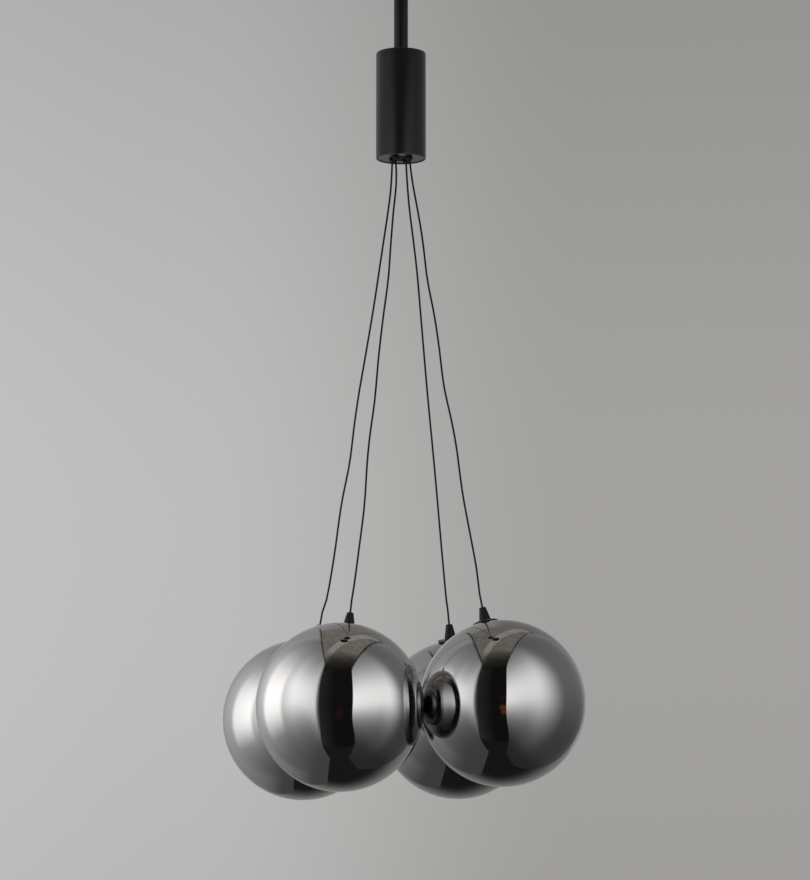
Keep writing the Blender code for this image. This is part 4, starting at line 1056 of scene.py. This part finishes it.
def glow_material(name, describe):
    """A one-sided light: it shines what describe gives for its coordinates, and its back is clear.

    Where describe gives a third value, that share of the light behind comes through as well.
    """
    material = bpy.data.materials.new(name)
    where = coordinates(material, "Object")
    tint, strength, *through = describe(where)
    light = where.node("ShaderNodeEmission", {}, {"Color": tint, "Strength": strength})
    for share in through:
        pane = where.node("ShaderNodeBsdfTransparent", {}, {"Color": share})
        light = where.node("ShaderNodeAddShader", {}, {0: light, 1: pane})
    clear = where.node("ShaderNodeBsdfTransparent", {}, {})
    back = where.node("ShaderNodeNewGeometry", {}, {}, "Backfacing")
    where.node("ShaderNodeMixShader", {}, {0: back, 1: light, 2: clear}).shown("ShaderNodeOutputMaterial")
    return material


def card(name, corners, describe, lights):
    """A flat card, facing the side from which its corners run anticlockwise, unseen by the camera.

    Mirrors show every card. Only a card that lights also shines on matt surfaces and through glass.
    """
    mesh = bpy.data.meshes.new(name)
    mesh.from_pydata(corners, [], [tuple(range(len(corners)))])
    mesh.materials.append(glow_material(name, describe))
    thing = bpy.data.objects.new(name, mesh)
    bpy.context.scene.collection.objects.link(thing)
    thing.visible_camera = False
    thing.visible_diffuse = lights
    thing.visible_transmission = lights
    thing.visible_shadow = False


def level_corners(left, right, front, back, z):
    """The corners of a level rectangle, anticlockwise seen from above."""
    return [(left, front, z), (right, front, z), (right, back, z), (left, back, z)]


# The left scrim stands at one x. The right scrim stands on a line from a front point. A scrim's front
# edge is bowed, and is a list of (y, z) on the left and (distance along the line, z) on the right.
SCRIM_BOTTOM_Z = -2.25
LEFT_X = -0.291
LEFT_LAMP_Z = -0.868
LEFT_STRENGTH = 1.72
LEFT_FRONT_EDGE = [
    (-0.555, -0.40), (-0.570, -0.66), (-0.583, -0.84), (-0.592, -1.00), (-0.584, -1.16),
    (-0.560, -1.27), (-0.52, -1.36), (-0.47, -1.50), (-0.44, SCRIM_BOTTOM_Z),
]
LEFT_BACK_Y = 0.9
RIGHT_FRONT = Vector((0.147, -0.590, 0.0))
RIGHT_WAY = Vector((0.259, 0.966, 0.0))
RIGHT_LAMP_Z = -0.87
RIGHT_STRENGTH = 1.14
RIGHT_FRONT_EDGE = [
    (-0.020, -0.40), (-0.048, -0.58), (-0.062, -0.72), (-0.075, -0.88), (-0.084, -1.02),
    (-0.078, -1.11), (-0.045, -1.22), (0.02, -1.32), (0.09, -1.48), (0.12, SCRIM_BOTTOM_Z),
]
RIGHT_BACK_EDGE = [(0.72, SCRIM_BOTTOM_Z), (0.86, -1.49)]

# The other cards and the floor, with their two ends along an axis or their place on it
SOFTBOX_X = -1.0
SOFTBOX_Y = (-1.15, 1.95)
SOFTBOX_Z = (-2.1, 0.35)
SOFTBOX_STRENGTH = 1.44
SOFTBOX_SHARE_SEEN = 0.5
CEILING_X = (-0.5, 1.0)
CEILING_Y = (-2.2, 0.62)
CEILING_Z = 0.004
DARK_ROOM_X = (-1.6, 1.6)
DARK_ROOM_Y = -0.95
DARK_ROOM_Z = (-2.3, 0.2)
DARK_FLOOR_X = (-2.5, 2.5)
DARK_FLOOR_Y = (-2.2, 14.0)
DARK_FLOOR_Z = -2.27
PALE_FLOOR_REACH = 40.0
PALE_FLOOR_Z = -3.05


def left_top(y):
    """The height of the left scrim's upper edge at that y."""
    return -0.087 + y * 0.181 - y * y * 0.15


def right_top(along):
    """The height of the right scrim's upper edge at that distance along it."""
    return -0.31 + along * 0.43 - along * along * 0.18


def shoulder(value, middle, below, above):
    """1 at the middle. Below, it falls as 1 / (1 + (distance / width)^3), and above with a square."""
    rise = (value - middle).most(0.0) / above
    fall = (middle - value).most(0.0) / below
    return 1.0 / (1.0 + rise * rise + fall * fall * fall)


def rail_shade(where, below_edge):
    """What a scrim's dark, frayed upper rail leaves of its light, by the distance below the edge."""
    fray = where.noise(38.0, 4.0, 0.65)
    rail_depth = 0.020 + (fray - 0.42).most(0.0) * 0.44
    return 1.0 - (rail_depth - below_edge).above(0.0) * 0.95


def left_scrim(where):
    """The left scrim's light, and the share of the softbox's light that comes through it.

    The lamp's patch of light is taller towards the front. Towards the back it dims by a step and
    then fades. Light spills around it, and half of the softbox shows through the middle part.
    """
    y, z = where.axis(1), where.axis(2)
    front = (-0.25 - y).most(0.0)
    back = (y + 0.21).most(0.0)
    fade = (y + 0.05).most(0.0) / 0.16
    lamp = (0.79 - front * 1.05) * y.step(-0.566, -0.487) * (1.0 - y.step(-0.24, -0.15) * 0.30)
    lamp = lamp / (1.0 + fade * fade)
    spread = front * front
    reach_down = 0.128 + spread * 1.75 + back * 0.12
    reach_up = 0.166 + spread * 3.0
    lit = lamp * shoulder(z, LEFT_LAMP_Z, reach_down, reach_up)
    wash = y.step(0.0, 0.20) * z.step(-1.6, -1.0) * 0.092
    spill = 0.045 + z.step(-1.5, -1.2) * 0.012 + z.step(-1.05, -0.75) * 0.050 + wash
    light = (lit * 0.95 + spill) * LEFT_STRENGTH * rail_shade(where, left_top(y) - z)
    window = y.step(-0.30, -0.24) * (1.0 - y.step(0.20, 0.26))
    window = window * z.step(-1.20, -1.08) * (1.0 - z.step(-0.74, -0.62))
    return WHITE, light, window * SOFTBOX_SHARE_SEEN


def left_softbox(where):
    """A tall softbox behind the left scrim, dimmer towards its top, with dark cloth around it."""
    y, z = where.axis(1), where.axis(2)
    lamp = y.step(-0.27, -0.13) * (1.0 - y.step(0.36, 0.62)) * z.step(-1.45, -0.95)
    return WHITE, lamp * (1.0 - z.step(-0.85, 0.0) * 0.9) * SOFTBOX_STRENGTH


def right_scrim(where):
    """The right scrim's light: its patch is taller towards the front and nearly gone at the back."""
    y, z = where.axis(1), where.axis(2)
    front = (-0.30 - y).most(0.0)
    lit = (1.0 + front * 0.3) * (1.0 - y.step(-0.235, -0.085) * 0.92)
    reach_down = 0.12 + front * 0.2
    reach_up = (0.084 - y * 0.32).most(0.12)
    spill = 0.032 + z.step(-1.45, -1.15) * 0.030 + z.step(-1.05, -0.65) * 0.10
    wash = y.step(0.0, 0.45) * z.step(-1.6, -1.0) * 0.10
    light = lit * shoulder(z, RIGHT_LAMP_Z, reach_down, reach_up) * RIGHT_STRENGTH + spill + wash
    along = (y - RIGHT_FRONT.y) / RIGHT_WAY.y
    return WHITE, light * rail_shade(where, right_top(along) - z)


def ceiling_glow(where):
    """The room's ceiling: warm grey with brown stains and a slanted light strip, dark at its front."""
    x, y = where.axis(0), where.axis(1)
    across_strip = x * 0.832 - y * 0.555
    strip = across_strip.step(-0.060, -0.050) * (1.0 - across_strip.step(0.064, 0.074))
    dusk = (-0.28 - y).most(0.0) / 0.17
    stain = where.noise(7.0, 4.0, 0.6)
    blot = where.noise(15.0, 4.0, 0.65).step(0.54, 0.64) * (1.0 - strip * 0.8)
    base = (0.125 + stain * 0.185) * (1.0 - blot * 0.42) / (1.0 + dusk * dusk)
    tone = stain.step(0.38, 0.60).mixed(colour(1.0, 0.88, 0.73), colour(1.0, 0.94, 0.87))
    return strip.mixed(tone, colour(1.0, 0.97, 0.91)), base * (1.0 + strip * 0.62)


def dark_glow(where):
    """The wall in front: near black, and a little lighter towards its left."""
    return WHITE, 0.0075 + (where.axis(0) + 0.15).least(0.0) * -0.055


def floor_glow(where):
    """The room's floor: dark under the light, and paler towards the sides and the back of the room."""
    x, y = where.axis(0), where.axis(1)
    aside = x.most(x * -1.0)
    away = (y + aside * 0.42 - 0.66).most(0.0) / 1.2
    away = away * away
    return colour(1.0, 0.985, 0.96), 0.014 + away / (1.0 + away) * 0.27


def build_scrims():
    """Both scrims, and the softbox behind the left one.

    A scrim's outline runs along its upper edge, down its front edge and round by its foot.
    """
    left_edge = [(y, left_top(y)) for y in (LEFT_BACK_Y, 0.6, 0.3, 0.0, -0.3, -0.53)]
    left_outline = left_edge + LEFT_FRONT_EDGE + [(LEFT_BACK_Y, SCRIM_BOTTOM_Z)]
    card("left_scrim", [(LEFT_X, y, z) for y, z in left_outline], left_scrim, True)
    (front, back), (low, high) = SOFTBOX_Y, SOFTBOX_Z
    softbox = [(back, high), (front, high), (front, low), (back, low)]
    card("left_softbox", [(SOFTBOX_X, y, z) for y, z in softbox], left_softbox, False)
    right_edge = [(along, right_top(along)) for along in (1.3, 0.95, 0.6, 0.3, 0.05)]
    right_outline = right_edge + RIGHT_FRONT_EDGE + RIGHT_BACK_EDGE
    right_corners = [(*(RIGHT_FRONT + RIGHT_WAY * along).xy, z) for along, z in reversed(right_outline)]
    card("right_scrim", right_corners, right_scrim, True)


def build_room():
    """The room's ceiling, the dark wall in front and the dark floor, as the mirrors show them."""
    card("room_ceiling", level_corners(*CEILING_X, *CEILING_Y, CEILING_Z)[::-1], ceiling_glow, False)
    left, right = DARK_ROOM_X
    low, high = DARK_ROOM_Z
    wall = [(right, low), (left, low), (left, high), (right, high)]
    card("dark_room", [(x, DARK_ROOM_Y, z) for x, z in wall], dark_glow, False)
    card("dark_floor", level_corners(*DARK_FLOOR_X, *DARK_FLOOR_Y, DARK_FLOOR_Z), floor_glow, False)


def floor_paint(where):
    """Pale floor paint with broad, faint clouds."""
    cloud = where.noise(0.8, 3.0)
    return {"Base Color": cloud.mixed(grey(0.60), grey(0.66)), "Roughness": 0.82}


def build_floor():
    """A wide pale floor, a high room's height below the ceiling."""
    reach = PALE_FLOOR_REACH
    mesh = bpy.data.meshes.new("pale_floor")
    mesh.from_pydata(level_corners(-reach, reach, -reach, reach, PALE_FLOOR_Z), [], [(0, 1, 2, 3)])
    mesh.materials.append(new_finish("pale_floor", floor_paint))
    floor = bpy.data.objects.new("pale_floor", mesh)
    bpy.context.scene.collection.objects.link(floor)


def build_world():
    """The backdrop for camera, mirror and glass rays, and an even soft light for all others.

    The backdrop is darker to the right, and brightest where a direction's Z is that of the bright band.
    """
    bright_band = 0.10
    far_left = colour(0.545, 0.543, 0.540)
    left = colour(0.508, 0.506, 0.503)
    right = colour(0.366, 0.360, 0.352)
    world = bpy.data.worlds.new("soft_studio")
    bpy.context.scene.world = world
    way = coordinates(world, "Generated")
    seen = way.node("ShaderNodeLightPath", {}, {}, "Is Camera Ray")
    for ray in ("Is Glossy Ray", "Is Transmission Ray"):
        seen = seen.most(way.node("ShaderNodeLightPath", {}, {}, ray))
    x, z = way.axis(0), way.axis(2)
    rise = (z - bright_band).most(0.0) / 0.24
    fall = (z - bright_band).least(0.0) / 0.45
    height = (0.48 + 0.52 / (1.0 + rise * rise)) / (1.0 + fall * fall)
    tone = x.step(-0.075, 0.060).mixed(x.step(-0.18, -0.06).mixed(far_left, left), right)
    backdrop = way.node("ShaderNodeBackground", {}, {"Color": tone, "Strength": height})
    even = way.node("ShaderNodeBackground", {}, {"Color": WHITE, "Strength": 0.55})
    way.node("ShaderNodeMixShader", {}, {0: seen, 1: even, 2: backdrop}).shown("ShaderNodeOutputWorld")


build_scrims()
build_room()
build_floor()
build_world()
